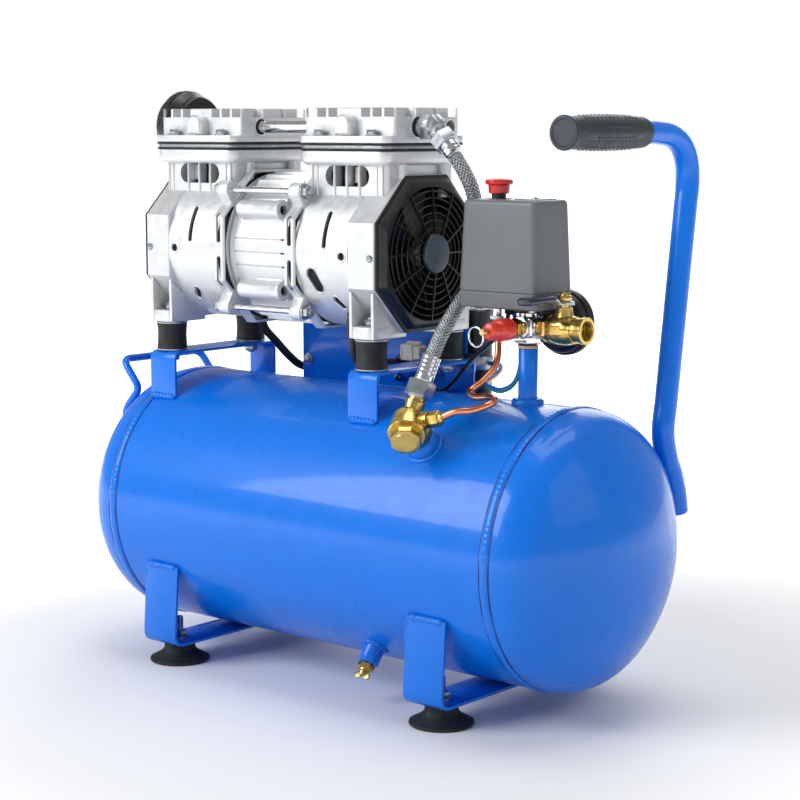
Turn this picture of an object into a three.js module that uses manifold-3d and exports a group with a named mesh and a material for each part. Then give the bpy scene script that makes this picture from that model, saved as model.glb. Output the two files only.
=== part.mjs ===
// Twin-head oil-free air compressor on a horizontal tank: millimetres, +Z up, the tank along X.
// Each sub-part is one closed mesh. Neighbours that touch keep GAP between them.
import * as THREE from 'three';
import { mergeVertices } from 'three/addons/utils/BufferGeometryUtils.js';
import Module from 'manifold-3d';

const wasm = await Module();
wasm.setup();

// ---- driving dimensions -------------------------------------------------------------------
const GAP = 0.3;
const ROUND = { tank: 32, pump: 24, pad: 14, small: 10, tiny: 8 };
const TANK = { radius: 130, wall: 2.5, length: 474, lift: 24, flange: 3.7, knuckle: 49, crown: 180 };
TANK.z = TANK.lift + TANK.radius;
const TANK_TOP = TANK.z + TANK.radius;
const SEAM = TANK.length / 2;
const LEG = { x: [62 - SEAM, SEAM - 71], width: 45, sheet: 3, top: 52.5, plateZ: 21.5, splay: 5.7, bend: 12 };
const FOOT = { radius: 30, neck: 15.5, y: 98.5, recess: 3, stud: 3.9, studTop: 45 };
const NUT = { across: 13, height: 6.2, washer: 9, washerHeight: 1.5 };
const PUMP = { x: -88, drum: 74, wall: 5 };
PUMP.flange = PUMP.drum + 2;
PUMP.tie = { y: PUMP.drum - 12, z: PUMP.drum - 16.5, radius: 3.2 };
const MOUNT = { radius: 15.5, height: 29.5, dx: 135, y: PUMP.drum - 17, stud: 3.9 };
const SADDLE = { width: 36, sheet: 3, y: MOUNT.y + MOUNT.radius, top: TANK_TOP + 25, bend: 7, shift: 3 };
const PUMP_U = { housing: 40, flange: 54, drum: 120, end: 152.5, bearing: 62, fan: [130, 146] };
const LUG = { size: 31, height: 12, web: 4 };
const HEAD = { u: 99, length: 113, depth: 118, block: 94, plate: 7, height: 33, fin: 7, corner: 9 };
const NECK = { length: 97, depth: 100, flange: 13.5, rise: PUMP.drum + 8.5 };
const VENT = { reach: 17.7, z: NECK.rise - 10, radius: 9.8, depth: 9, pitch: 15.5, rib: 3 };
const SLOTS = {
  both: [[[90, 37], [90, 8], 2.6], [[111.8, -1.5], [112.4, -1.5], 3.6], [[94, -44], [97, -49], 3.4]],
  right: [[[72.5, -20], [77.5, -31], 6]],
};
const VALVE_PLATE = 7;
const BORE = { radius: 33, clearance: 0.3, throw: 10 };
const MOTOR = { radius: PUMP.drum - 8, wall: 4.5, tubeY: PUMP.drum - 17, tubeZ: 39 };
const SHAFT = { radius: 8, core: 38.5, coreLength: 60, airGap: 0.6 };
const FAN = { radius: PUMP.drum - 16, hub: 14, blades: 7 };
const COVER = { thickness: 9.5, grille: PUMP.drum - 10, hub: 18, rings: 1, spokes: 6, bar: 3, face: 3.5 };
const CROSSOVER = { radius: 6, y: -20, seat: 6 };
const FILTER = { radius: 37, cup: 31, length: 40, y: 12 };
const OUTLET = { y: -14, radius: 7, port: 6.5, spareY: 34 };
const CHECK = { x: 138, angle: 43, boss: 15, bossTop: TANK.radius + 13, centre: TANK.radius + 34, body: 16, across: 27 };
const DRAIN = { x: 71, angle: 38, boss: 10, bossTop: TANK.radius + 18, across: 14, length: 8 };
const RISER = { x: 187, radius: 9, bore: 6, collar: 15, top: TANK_TOP + 51 };
const MANIFOLD = { z: RISER.top + 19.5, radius: 11, arm: 9.5, reach: 15, top: RISER.top + 36.5, across: 24 };
const SWITCH = { x: RISER.x - 16, y: 0.5, length: 90, depth: 57, base: 15, cover: 83, taper: 0.93, wall: 2.5 };
const KNOB = { x: RISER.x - 35, radius: 9.75, flange: 12, stem: 5, travel: 4 };
const BALL = { x: RISER.x + 40, body: 14, across: 26, outlet: 25, bore: 7, ball: 10.5, mouth: 9, lever: 61 };
const SAFETY = { nut: 15, cap: 10, capLength: 20, tip: 8, tipLength: 11, pin: 2.4, ring: 9, wire: 0.9 };
const GAUGE = { radius: 31, y: 42, depth: 20, recess: 5, lip: 3 };
const HANDLE = { x: SEAM + 27, tube: 11, wall: 1.5, top: TANK_TOP + 246, grip: 15.5, gripEnds: [65, -57] };
HANDLE.lean = [TANK.radius - 23, TANK.radius + 14];
const CARRY = { x: -SEAM - 63, z: TANK_TOP + 9, y: 56, radius: 4 };
const BOX = {
  x: [PUMP.x - 80, PUMP.x + 126], y: [PUMP.drum + 5, PUMP.drum + 53], z: [SADDLE.top - 39, SADDLE.top + 43],
  sheet: 2, plate: 15, tab: 24,
};
const CAPACITOR = {
  x: BOX.x[1] + 16, y: BOX.y[0] + 17.5, radius: 14, top: BOX.z[1] + 6, strap: [BOX.z[0] + 27, BOX.z[0] + 40],
};
const HOSE = { radius: 6.5, ferrule: 9.5, across: 22 };

const PUMP_Z = SADDLE.top + MOUNT.height + PUMP.drum + 4;
const FLANGE_TOP = PUMP_Z + NECK.rise + NECK.flange;
const HEAD_Z = FLANGE_TOP + VALVE_PLATE + GAP;
const HEAD_MID = HEAD_Z + 15;

// ---- helpers ------------------------------------------------------------------------------
const vec = (x, y, z) => new THREE.Vector3(x, y, z);

/** Turns a closed geometry into a solid, whichever way its faces were wound. */
function solid(geometry) {
  const bare = geometry.clone();
  bare.deleteAttribute('normal');
  bare.deleteAttribute('uv');
  const welded = mergeVertices(bare, 1e-4);
  const position = welded.attributes.position.array;
  const corner = (i) => vec(position[3 * i], position[3 * i + 1], position[3 * i + 2]);
  const faces = [];
  let volume = 0;
  for (let i = 0; i < welded.index.count; i += 3) {
    const [a, b, c] = welded.index.array.slice(i, i + 3);
    if (a === b || b === c || c === a) continue;
    faces.push([a, b, c]);
    volume += corner(a).dot(corner(b).cross(corner(c)));
  }
  const wound = volume < 0 ? faces.map((face) => face.reverse()) : faces;
  return new wasm.Manifold(new wasm.Mesh({
    numProp: 3,
    vertProperties: new Float32Array(position),
    triVerts: new Uint32Array(wound.flat()),
  }));
}

const join = (...solids) => solids.reduce((whole, piece) => whole.add(piece));
const cut = (whole, ...tools) => tools.reduce((left, tool) => left.subtract(tool), whole);

/** A block from its corner ranges. */
function block([x0, x1], [y0, y1], [z0, z1]) {
  const box = new THREE.BoxGeometry(x1 - x0, y1 - y0, z1 - z0);
  return solid(box.translate((x0 + x1) / 2, (y0 + y1) / 2, (z0 + z1) / 2));
}

/** Turns a geometry built along +Y so that it starts at a point and runs along a direction. */
function aim(geometry, start, direction) {
  const turn = new THREE.Quaternion().setFromUnitVectors(vec(0, 1, 0), direction.clone().normalize());
  return geometry.applyQuaternion(turn).translate(start.x, start.y, start.z);
}

/** A round or, with few sides, prismatic bar between two points. */
function bar(radius, start, end, sides = ROUND.small, endRadius = radius) {
  const along = end.clone().sub(start);
  const length = along.length();
  const body = new THREE.CylinderGeometry(endRadius, radius, length, sides).translate(0, length / 2, 0);
  return solid(aim(body, start, along));
}

/** A hexagonal or octagonal prism given across its flats. */
const prism = (across, start, end, sides = 6) =>
  bar(across / 2 / Math.cos(Math.PI / sides), start, end, sides);

/** A turned piece: [radius, height] points about an axis that starts at a point. */
function turned(profile, start, direction, sides = ROUND.pad) {
  const points = profile.map(([radius, height]) => new THREE.Vector2(radius, height));
  return solid(aim(new THREE.LatheGeometry(points, sides), start, direction));
}

/** An outline in Y and Z drawn out along X. */
function alongX(shape, x0, x1) {
  const body = new THREE.ExtrudeGeometry(shape, { depth: x1 - x0, bevelEnabled: false, curveSegments: 3 });
  const cycle = new THREE.Matrix4().makeBasis(vec(0, 1, 0), vec(0, 0, 1), vec(1, 0, 0));
  return solid(body.applyMatrix4(cycle).translate(x0, 0, 0));
}

/** An outline in X and Y drawn up along Z, its top scaled about the outline's own centre. */
function upright(shape, x, y, z0, z1, topScale = 1) {
  const body = new THREE.ExtrudeGeometry(shape, { depth: 1, bevelEnabled: false, curveSegments: 3 });
  const position = body.attributes.position;
  for (let i = 0; i < position.count; i += 1) {
    const share = position.getZ(i);
    const scale = 1 + (topScale - 1) * share;
    position.setXYZ(i, x + position.getX(i) * scale, y + position.getY(i) * scale, z0 + (z1 - z0) * share);
  }
  return solid(body);
}

/** A rectangle about the origin with round corners. */
function roundedRectangle(length, depth, corner) {
  const [x, y] = [length / 2, depth / 2];
  const shape = new THREE.Shape();
  shape.absarc(x - corner, y - corner, corner, 0, Math.PI / 2);
  shape.absarc(corner - x, y - corner, corner, Math.PI / 2, Math.PI);
  shape.absarc(corner - x, corner - y, corner, Math.PI, 1.5 * Math.PI);
  shape.absarc(x - corner, corner - y, corner, 1.5 * Math.PI, 2 * Math.PI);
  return shape;
}

/** A path of straight runs through the points with every corner rounded. */
function bentPath(points, bend) {
  const path = new THREE.CurvePath();
  let from = points[0];
  for (let i = 1; i < points.length - 1; i += 1) {
    const back = points[i - 1].clone().sub(points[i]).setLength(bend).add(points[i]);
    const ahead = points[i + 1].clone().sub(points[i]).setLength(bend).add(points[i]);
    path.add(new THREE.LineCurve3(from, back));
    path.add(new THREE.QuadraticBezierCurve3(back, points[i], ahead));
    from = ahead;
  }
  path.add(new THREE.LineCurve3(from, points.at(-1)));
  return path;
}

/** A round section swept along a curve, hollow when a wall is given. */
function swept(curve, radius, sides, steps, wall = 0) {
  const ring = (r) => Array.from({ length: sides }, (_, i) => {
    const angle = (2 * Math.PI * i) / sides;
    return new THREE.Vector2(r * Math.cos(angle), r * Math.sin(angle));
  });
  const section = new THREE.Shape(ring(radius));
  if (wall > 0) section.holes.push(new THREE.Path(ring(radius - wall).reverse()));
  return solid(new THREE.ExtrudeGeometry(section, { steps, bevelEnabled: false, extrudePath: curve }));
}

const cord = (points, radius, sides, steps) =>
  swept(new THREE.CatmullRomCurve3(points, false, 'centripetal'), radius, sides, steps);

/** A bent sheet strip: the centre line in Y and Z, rounded at its corners and given a thickness. */
function stripShape(points, bend, sheet) {
  const path = bentPath(points.map(([y, z]) => vec(y, z, 0)), bend);
  const line = path.curves.flatMap((curve) => curve.getPoints(curve.isLineCurve3 ? 1 : 4));
  const clean = line.filter((point, i) => i === 0 || point.distanceTo(line[i - 1]) > 1e-6);
  const side = (sign) => clean.map((point, i) => {
    const tangent = clean[Math.min(i + 1, clean.length - 1)].clone().sub(clean[Math.max(i - 1, 0)]);
    const normal = new THREE.Vector2(-tangent.y, tangent.x).setLength((sign * sheet) / 2);
    return new THREE.Vector2(point.x + normal.x, point.y + normal.y);
  });
  return new THREE.Shape([...side(1), ...side(-1).reverse()]);
}

const model = new THREE.Group();
const finishes = {
  blue: ['#1557d6', 0.25, 0.1], aluminium: ['#b9bcc0', 0.45, 0.85], black: ['#17181a', 0.5, 0],
  rubber: ['#141415', 0.8, 0], steel: ['#c3c6ca', 0.3, 1], brass: ['#b8923c', 0.35, 1],
  copper: ['#c8643c', 0.3, 1], red: ['#cf1d1d', 0.35, 0], zinc: ['#aab2ba', 0.35, 1],
  cast: ['#5c6066', 0.6, 0.4], cover: ['#3a3d42', 0.45, 0], braid: ['#9a9da1', 0.35, 0.9],
};

/** Adds a solid to the model as a named mesh with a material of its own. */
function add(name, body, finish) {
  const { vertProperties, triVerts } = body.getMesh();
  const geometry = new THREE.BufferGeometry();
  geometry.setAttribute('position', new THREE.BufferAttribute(vertProperties, 3));
  geometry.setIndex(new THREE.BufferAttribute(triVerts, 1));
  geometry.computeVertexNormals();
  const [color, roughness, metalness] = finishes[finish];
  const mesh = new THREE.Mesh(geometry, new THREE.MeshStandardMaterial({ color, roughness, metalness }));
  mesh.name = name;
  model.add(mesh);
}

// ---- tank ---------------------------------------------------------------------------------
/** A point at a radius from the tank's axis, an angle forward of straight up. */
function around(x, radius, degrees) {
  const angle = THREE.MathUtils.degToRad(degrees);
  return vec(x, -radius * Math.sin(angle), TANK.z + radius * Math.cos(angle));
}
const DRAIN_TURN = 180 - DRAIN.angle;

/** The dished end's outline at an offset from its outer face: [radius, distance past the seam]. */
function domeOutline(offset) {
  const knuckle = TANK.knuckle + offset;
  const rim = TANK.radius - TANK.knuckle;
  const tangent = Math.asin(rim / (TANK.crown - TANK.knuckle));
  const crownCentre = TANK.flange - (TANK.crown - TANK.knuckle) * Math.cos(tangent);
  const points = [[TANK.radius + offset, GAP / 2]];
  for (let i = 0; i <= 3; i += 1) {
    const angle = (i / 3) * (Math.PI / 2 - tangent);
    points.push([rim + knuckle * Math.cos(angle), TANK.flange + knuckle * Math.sin(angle)]);
  }
  for (let i = 2; i >= 0; i -= 1) {
    const angle = (i / 3) * tangent;
    const radius = TANK.crown + offset;
    points.push([i === 0 ? 0 : radius * Math.sin(angle), crownCentre + radius * Math.cos(angle)]);
  }
  return points;
}

function buildTank() {
  const half = TANK.length / 2 - GAP / 2;
  const axis = (x) => vec(x, 0, TANK.z);
  const outer = bar(TANK.radius, axis(-half), axis(half), ROUND.tank);
  const checkBoss = join(
    bar(CHECK.boss + 2.5, around(CHECK.x, TANK.radius - 9, CHECK.angle),
      around(CHECK.x, CHECK.bossTop - 7, CHECK.angle), ROUND.pad),
    bar(CHECK.boss, around(CHECK.x, TANK.radius, CHECK.angle), around(CHECK.x, CHECK.bossTop, CHECK.angle),
      ROUND.pad),
  );
  const drainBoss = join(
    bar(DRAIN.boss + 2, around(DRAIN.x, TANK.radius - 5, DRAIN_TURN),
      around(DRAIN.x, DRAIN.bossTop - 9, DRAIN_TURN)),
    bar(DRAIN.boss, around(DRAIN.x, TANK.radius, DRAIN_TURN), around(DRAIN.x, DRAIN.bossTop, DRAIN_TURN)),
  );
  const riser = join(
    bar(RISER.collar, around(RISER.x, TANK.radius - 5, 0), around(RISER.x, TANK.radius + 5, 0), ROUND.pad),
    bar(RISER.radius, around(RISER.x, TANK.radius, 0), vec(RISER.x, 0, RISER.top), ROUND.pad),
  );
  const shell = cut(
    join(outer, checkBoss, drainBoss, riser),
    bar(TANK.radius - TANK.wall, axis(-half - 1), axis(half + 1), ROUND.tank),
    bar(7, around(CHECK.x, TANK.radius - 12, CHECK.angle), around(CHECK.x, CHECK.bossTop + 1, CHECK.angle)),
    bar(4, around(DRAIN.x, TANK.radius - 12, DRAIN_TURN), around(DRAIN.x, DRAIN.bossTop + 1, DRAIN_TURN)),
    bar(RISER.bore, around(RISER.x, TANK.radius - 12, 0), vec(RISER.x, 0, RISER.top + 1)),
  );
  add('tank_shell', shell, 'blue');
  const outline = [...domeOutline(0), ...domeOutline(-TANK.wall).reverse()];
  outline.push(outline[0]);
  add('dome_right', turned(outline, axis(TANK.length / 2), vec(1, 0, 0), ROUND.tank), 'blue');
  add('dome_left', turned(outline, axis(-TANK.length / 2), vec(-1, 0, 0), ROUND.tank), 'blue');
}

/** The space that a dished end fills, grown by an offset, as a tool for fitting welded pieces. */
function domeSpace(side, offset) {
  const outline = [[0, -40], [TANK.radius + offset, -40], ...domeOutline(offset)];
  return turned(outline, vec((side * TANK.length) / 2, 0, TANK.z), vec(side, 0, 0), ROUND.tank);
}

// ---- legs and feet ------------------------------------------------------------------------
function buildLegs() {
  const topZ = TANK.z - LEG.top;
  const topY = Math.sqrt(TANK.radius ** 2 - LEG.top ** 2) + LEG.sheet / 2 + GAP + 0.1;
  const plateY = topY + LEG.splay;
  const outline = [[-topY, topZ], [-plateY, LEG.plateZ], [plateY, LEG.plateZ], [topY, topZ]];
  const plateTop = LEG.plateZ + LEG.sheet / 2;
  const plateBottom = LEG.plateZ - LEG.sheet / 2;
  LEG.x.forEach((x, i) => {
    const side = ['left', 'right'][i];
    const strap = alongX(stripShape(outline, LEG.bend, LEG.sheet), x - LEG.width / 2, x + LEG.width / 2);
    const holes = [-1, 1].map((sign) =>
      bar(FOOT.stud + 0.6, vec(x, sign * FOOT.y, plateBottom - 1), vec(x, sign * FOOT.y, plateTop + 1)));
    add(`leg_strap_${side}`, cut(strap, ...holes), 'blue');
    for (const [end, sign] of [['front', -1], ['rear', 1]]) {
      const at = (z) => vec(x, sign * FOOT.y, z);
      const cup = turned([
        [0, FOOT.recess], [FOOT.radius - 12, FOOT.recess], [FOOT.radius - 6, 0], [FOOT.radius, 0],
        [FOOT.radius, 3], [FOOT.neck + 5, 9], [FOOT.neck, 13], [FOOT.neck, plateBottom - GAP],
        [0, plateBottom - GAP],
      ], at(0), vec(0, 0, 1));
      const nutZ = plateTop + GAP + NUT.washerHeight;
      const stud = join(
        bar(FOOT.stud, at(plateBottom - 5), at(FOOT.studTop), ROUND.tiny),
        bar(NUT.washer, at(plateTop + GAP), at(nutZ)),
        prism(NUT.across, at(nutZ - 0.01), at(nutZ + NUT.height)),
      );
      add(`foot_${side}_${end}`, join(cup, stud), 'rubber');
    }
  });
}

// ---- saddles and rubber mounts ------------------------------------------------------------
function buildSaddles() {
  const lineY = SADDLE.y;
  const foot = TANK.z + Math.sqrt(TANK.radius ** 2 - (lineY - SADDLE.sheet / 2) ** 2) + GAP + 0.1;
  const lineTop = SADDLE.top - SADDLE.sheet / 2;
  const outline = [[-lineY, foot], [-lineY, lineTop], [lineY, lineTop], [lineY, foot]];
  for (const [side, sign] of [['left', -1], ['right', 1]]) {
    const x = PUMP.x + sign * MOUNT.dx;
    const middle = x + SADDLE.shift;
    const strap = alongX(stripShape(outline, SADDLE.bend, SADDLE.sheet),
      middle - SADDLE.width / 2, middle + SADDLE.width / 2);
    const holes = [-1, 1].map((front) => bar(MOUNT.stud + 0.6,
      vec(x, front * MOUNT.y, SADDLE.top - 10), vec(x, front * MOUNT.y, SADDLE.top + 5)));
    add(`saddle_${side}`, cut(strap, ...holes), 'blue');
    for (const [end, front] of [['front', -1], ['rear', 1]]) {
      const at = (z) => vec(x, front * MOUNT.y, z);
      const under = SADDLE.top - SADDLE.sheet - GAP;
      const padTop = SADDLE.top + MOUNT.height - GAP;
      const lugTop = SADDLE.top + MOUNT.height + LUG.height + GAP;
      add(`rubber_mount_${side}_${end}`, join(
        bar(MOUNT.radius, at(SADDLE.top + GAP), at(padTop), ROUND.pad),
        bar(MOUNT.stud, at(under - NUT.height - 3), at(lugTop + NUT.height + 2), ROUND.tiny),
        prism(NUT.across, at(under - NUT.height), at(under)),
        prism(NUT.across, at(lugTop), at(lugTop + NUT.height)),
      ), 'rubber');
    }
  }
}

// ---- pump ---------------------------------------------------------------------------------
/** A point of the pump: u along X from its middle toward one side, then Y and Z from its axis. */
const pump = (side, u, y = 0, z = 0) => vec(PUMP.x + side * u, y, PUMP_Z + z);

/** A bar along the pump's axis between two distances from its middle. */
const pumpBar = (side, radius, u0, u1, sides = ROUND.pump, y = 0, z = 0) =>
  bar(radius, pump(side, u0, y, z), pump(side, u1, y, z), sides);

/** An octagonal prism about the pump's axis with its flats level and upright. */
function octagon(side, apothem, u0, u1) {
  const corners = Array.from({ length: 8 }, (_, i) => {
    const angle = Math.PI / 8 + (i * Math.PI) / 4;
    const radius = apothem / Math.cos(Math.PI / 8);
    return new THREE.Vector2(radius * Math.cos(angle), PUMP_Z + radius * Math.sin(angle));
  });
  const ends = [PUMP.x + side * u0, PUMP.x + side * u1];
  return alongX(new THREE.Shape(corners), Math.min(...ends), Math.max(...ends));
}

/** A block of the pump given by ranges of u, Y and Z from its axis. */
function pumpBlock(side, [u0, u1], y, [z0, z1]) {
  const x = [PUMP.x + side * u0, PUMP.x + side * u1].sort((a, b) => a - b);
  return block(x, y, [PUMP_Z + z0, PUMP_Z + z1]);
}

/** A slot with round ends cut through the pump's front and rear walls. */
function wallSlot(side, from, to, radius) {
  const [u0, z0] = from;
  const [u1, z1] = to;
  const through = (u, z) => bar(radius, pump(side, u, -90, z), pump(side, u, 90, z), ROUND.tiny);
  const shape = new THREE.Shape();
  const angle = Math.atan2(z1 - z0, side * (u1 - u0));
  const start = [PUMP.x + side * u0, PUMP_Z + z0];
  const end = [PUMP.x + side * u1, PUMP_Z + z1];
  const offset = [-radius * Math.sin(angle), radius * Math.cos(angle)];
  shape.moveTo(start[0] + offset[0], start[1] + offset[1]);
  shape.lineTo(end[0] + offset[0], end[1] + offset[1]);
  shape.lineTo(end[0] - offset[0], end[1] - offset[1]);
  shape.lineTo(start[0] - offset[0], start[1] - offset[1]);
  const body = new THREE.ExtrudeGeometry(shape, { depth: 180, bevelEnabled: false });
  body.applyMatrix4(new THREE.Matrix4().makeBasis(vec(1, 0, 0), vec(0, 0, 1), vec(0, -1, 0)));
  return join(solid(body.translate(0, 90, 0)), through(u0, z0), through(u1, z1));
}

function buildCrankcase(side, name) {
  const lugBottom = SADDLE.top + MOUNT.height - PUMP_Z;
  const lugTop = lugBottom + LUG.height;
  const lugs = [-1, 1].flatMap((front) => {
    const range = [front * MOUNT.y - LUG.size / 2, front * MOUNT.y + LUG.size / 2];
    const outerY = front * (MOUNT.y + LUG.size / 2);
    const web = new THREE.Shape([
      new THREE.Vector2(outerY, PUMP_Z + lugBottom), new THREE.Vector2(outerY, PUMP_Z + lugTop),
      new THREE.Vector2(front * (PUMP.drum - 3), PUMP_Z - 30),
      new THREE.Vector2(front * 26, PUMP_Z - PUMP.drum + 3),
      new THREE.Vector2(front * 26, PUMP_Z + lugBottom),
    ]);
    const webs = [-1, 1].map((end) => {
      const x = PUMP.x + side * (MOUNT.dx + (end * (LUG.size - LUG.web)) / 2);
      return alongX(web, x - LUG.web / 2, x + LUG.web / 2);
    });
    const lugX = [MOUNT.dx - LUG.size / 2, MOUNT.dx + LUG.size / 2];
    return [pumpBlock(side, lugX, range, [lugBottom, lugTop]), ...webs];
  });
  const ears = [-1, 1].flatMap((front) => [-1, 1].flatMap((up) => (
    [[8.5, 1], [10, 0.9]].map(([radius, reach]) => pumpBar(side, radius, PUMP_U.housing + GAP, PUMP_U.flange,
      ROUND.small, front * PUMP.tie.y * reach, up * PUMP.tie.z * reach)))));
  const neckX = PUMP.x + side * HEAD.u;
  const neckShape = roundedRectangle(NECK.length, NECK.depth, HEAD.corner);
  const flangeShape = roundedRectangle(HEAD.length, HEAD.depth, HEAD.corner);
  const body = join(
    pumpBar(side, PUMP.flange, PUMP_U.housing + GAP, PUMP_U.flange),
    pumpBar(side, PUMP.drum, PUMP_U.flange - 1, PUMP_U.drum + 1),
    octagon(side, PUMP.drum, PUMP_U.drum, PUMP_U.end),
    upright(neckShape, neckX, 0, PUMP_Z + 40, PUMP_Z + NECK.rise + 1),
    upright(flangeShape, neckX, 0, PUMP_Z + NECK.rise, FLANGE_TOP),
    ...ears, ...lugs,
  );
  const inner = PUMP.drum - PUMP.wall;
  const vent = (front) => {
    const y = [front * (NECK.depth / 2 + 1), front * (NECK.depth / 2 - VENT.depth)].sort((p, q) => p - q);
    return wallSlot(side, [HEAD.u - VENT.reach, VENT.z], [HEAD.u + VENT.reach, VENT.z], VENT.radius)
      .intersect(pumpBlock(side, [0, PUMP_U.end], y, [PUMP.tie.z, NECK.rise + NECK.flange]));
  };
  const bores = [
    pumpBar(side, inner, PUMP_U.housing - 1, PUMP_U.bearing - 6),
    pumpBar(side, inner, PUMP_U.bearing, PUMP_U.end + 1),
    pumpBar(side, SHAFT.radius + 1, PUMP_U.housing, PUMP_U.end, ROUND.small),
    bar(BORE.radius, pump(side, HEAD.u), pump(side, HEAD.u, 0, FLANGE_TOP - PUMP_Z + 1), ROUND.pump),
  ];
  const ribs = [-1, 1].flatMap((front) => [-1, 0, 1].map((step) => {
    const u = HEAD.u + step * VENT.pitch;
    const y = [NECK.depth / 2 - VENT.depth - 1, NECK.depth / 2 - 1].map((v) => front * v).sort((p, q) => p - q);
    return pumpBlock(side, [u - VENT.rib / 2, u + VENT.rib / 2], y,
      [VENT.z - VENT.radius - 1, VENT.z + VENT.radius + 1]);
  }));
  const studHoles = [-1, 1].map((front) => bar(MOUNT.stud + 0.6,
    pump(side, MOUNT.dx, front * MOUNT.y, lugBottom - 1),
    pump(side, MOUNT.dx, front * MOUNT.y, lugTop + 1), ROUND.tiny));
  const tieHoles = [-1, 1].flatMap((front) => [-1, 1].map((up) => pumpBar(side, PUMP.tie.radius + 0.4,
    PUMP_U.housing - 1, PUMP_U.flange + 1, ROUND.tiny, front * PUMP.tie.y, up * PUMP.tie.z)));
  const slots = [...SLOTS.both, ...(side > 0 ? SLOTS.right : [])].map((slot) => wallSlot(side, ...slot));
  const hollow = cut(body, ...bores.slice(0, 2), vent(-1), vent(1));
  const bearing = pumpBar(side, SHAFT.radius + 9, PUMP_U.bearing - 6, PUMP_U.bearing + 10, ROUND.pad);
  add(`crankcase_${name}`,
    cut(join(hollow, ...ribs, bearing), bores[2], bores[3], ...studHoles, ...tieHoles, ...slots),
    'aluminium');
}

function buildHead(side, name) {
  const x = PUMP.x + side * HEAD.u;
  const flangeShape = roundedRectangle(HEAD.length, HEAD.depth, HEAD.corner);
  const plate = upright(flangeShape, x, 0, FLANGE_TOP + GAP, FLANGE_TOP + VALVE_PLATE);
  const ports = [-14, 14].map((y) => bar(5, vec(x, y, FLANGE_TOP), vec(x, y, HEAD_Z)));
  add(`valve_plate_${name}`, cut(plate, ...ports), 'black');
  const top = HEAD_Z + HEAD.height;
  const casting = join(
    upright(flangeShape, x, 0, HEAD_Z, HEAD_Z + HEAD.plate),
    upright(roundedRectangle(HEAD.length, HEAD.block, 4), x, 0, HEAD_Z + HEAD.plate - 1, top),
  );
  const pitch = HEAD.length / 11;
  const slots = Array.from({ length: 9 }, (_, i) => {
    const middle = x + (i - 4) * pitch;
    return block([middle - pitch / 4, middle + pitch / 4], [-HEAD.block, HEAD.block],
      [top - HEAD.fin, top + 1]);
  });
  const face = x + (side * HEAD.length) / 2;
  const innerFace = x - (side * HEAD.length) / 2;
  const seat = bar(CROSSOVER.radius + GAP, vec(innerFace - side, CROSSOVER.y, HEAD_MID),
    vec(innerFace + side * (CROSSOVER.seat + GAP), CROSSOVER.y, HEAD_MID));
  const portY = side > 0 ? [OUTLET.y, OUTLET.spareY] : [FILTER.y];
  const outer = portY.map((y) => (
    bar(OUTLET.port, vec(face - side * 10, y, HEAD_MID), vec(face + side, y, HEAD_MID))));
  add(`cylinder_head_${name}`, cut(casting, ...slots, seat, ...outer), 'aluminium');
}

function buildPiston(side, name) {
  const x = PUMP.x + side * HEAD.u;
  const crown = FLANGE_TOP - BORE.throw - 3;
  const rodEnd = PUMP_Z + 2 * BORE.throw + 16 + 2;
  add(`piston_${name}`, join(
    bar(BORE.radius - BORE.clearance, vec(x, 0, crown - 9), vec(x, 0, crown), ROUND.pump),
    bar(16, vec(x, 0, crown - 20), vec(x, 0, crown - 8), ROUND.pad, 24),
    block([x - 6, x + 6], [-12, 12], [rodEnd, crown - 15]),
  ), 'aluminium');
}

function buildMotor() {
  const half = PUMP_U.housing - GAP;
  const tubes = [-1, 1].flatMap((front) => [-1, 1].map((up) =>
    bar(9, pump(1, -32, front * MOTOR.tubeY, up * MOTOR.tubeZ),
      pump(1, 30, front * MOTOR.tubeY, up * MOTOR.tubeZ))));
  const ends = [-1, 1].flatMap((front) => [-1, 1].map((up) =>
    bar(4.5, pump(1, 18, front * MOTOR.tubeY, up * MOTOR.tubeZ),
      pump(1, 31, front * MOTOR.tubeY, up * MOTOR.tubeZ), ROUND.tiny)));
  const fins = [-1, 1].flatMap((up) => [-30, -10, 10, 30].map((y) =>
    pumpBlock(1, [-34, 34], [y - 2, y + 2], [up * (PUMP.drum - 19), up * PUMP.drum].sort((a, b) => a - b))));
  const housing = cut(join(pumpBar(1, MOTOR.radius, -half, half), ...tubes, ...fins),
    pumpBar(1, MOTOR.radius - MOTOR.wall, -half - 1, half + 1));
  const core = cut(pumpBar(1, MOTOR.radius - MOTOR.wall + 0.5, -SHAFT.coreLength / 2, SHAFT.coreLength / 2),
    pumpBar(1, SHAFT.core + SHAFT.airGap, -SHAFT.coreLength, SHAFT.coreLength));
  add('motor_housing', cut(join(housing, core), ...ends), 'aluminium');

  const throwBar = (side) => bar(15, pump(side, HEAD.u - 7, 0, side * BORE.throw),
    pump(side, HEAD.u + 7, 0, side * BORE.throw), ROUND.pad);
  add('rotor_shaft', join(
    pumpBar(1, SHAFT.radius, -PUMP_U.fan[1] - 2, PUMP_U.fan[1] + 2, ROUND.small),
    pumpBar(1, SHAFT.core, -SHAFT.coreLength / 2, SHAFT.coreLength / 2),
    throwBar(-1), throwBar(1),
  ), 'steel');

  for (const front of [-1, 1]) {
    for (const up of [-1, 1]) {
      const y = front * PUMP.tie.y;
      const z = up * PUMP.tie.z;
      const end = PUMP_U.flange + GAP;
      add(`tie_rod_${front < 0 ? 'front' : 'rear'}_${up < 0 ? 'lower' : 'upper'}`, join(
        bar(PUMP.tie.radius, pump(-1, end + 8, y, z), pump(1, end + 5, y, z), ROUND.tiny),
        prism(11, pump(-1, end, y, z), pump(-1, end + 5.5, y, z)),
        prism(11, pump(1, end, y, z), pump(1, end + 6.5, y, z)),
      ), 'steel');
    }
  }
}

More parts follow.
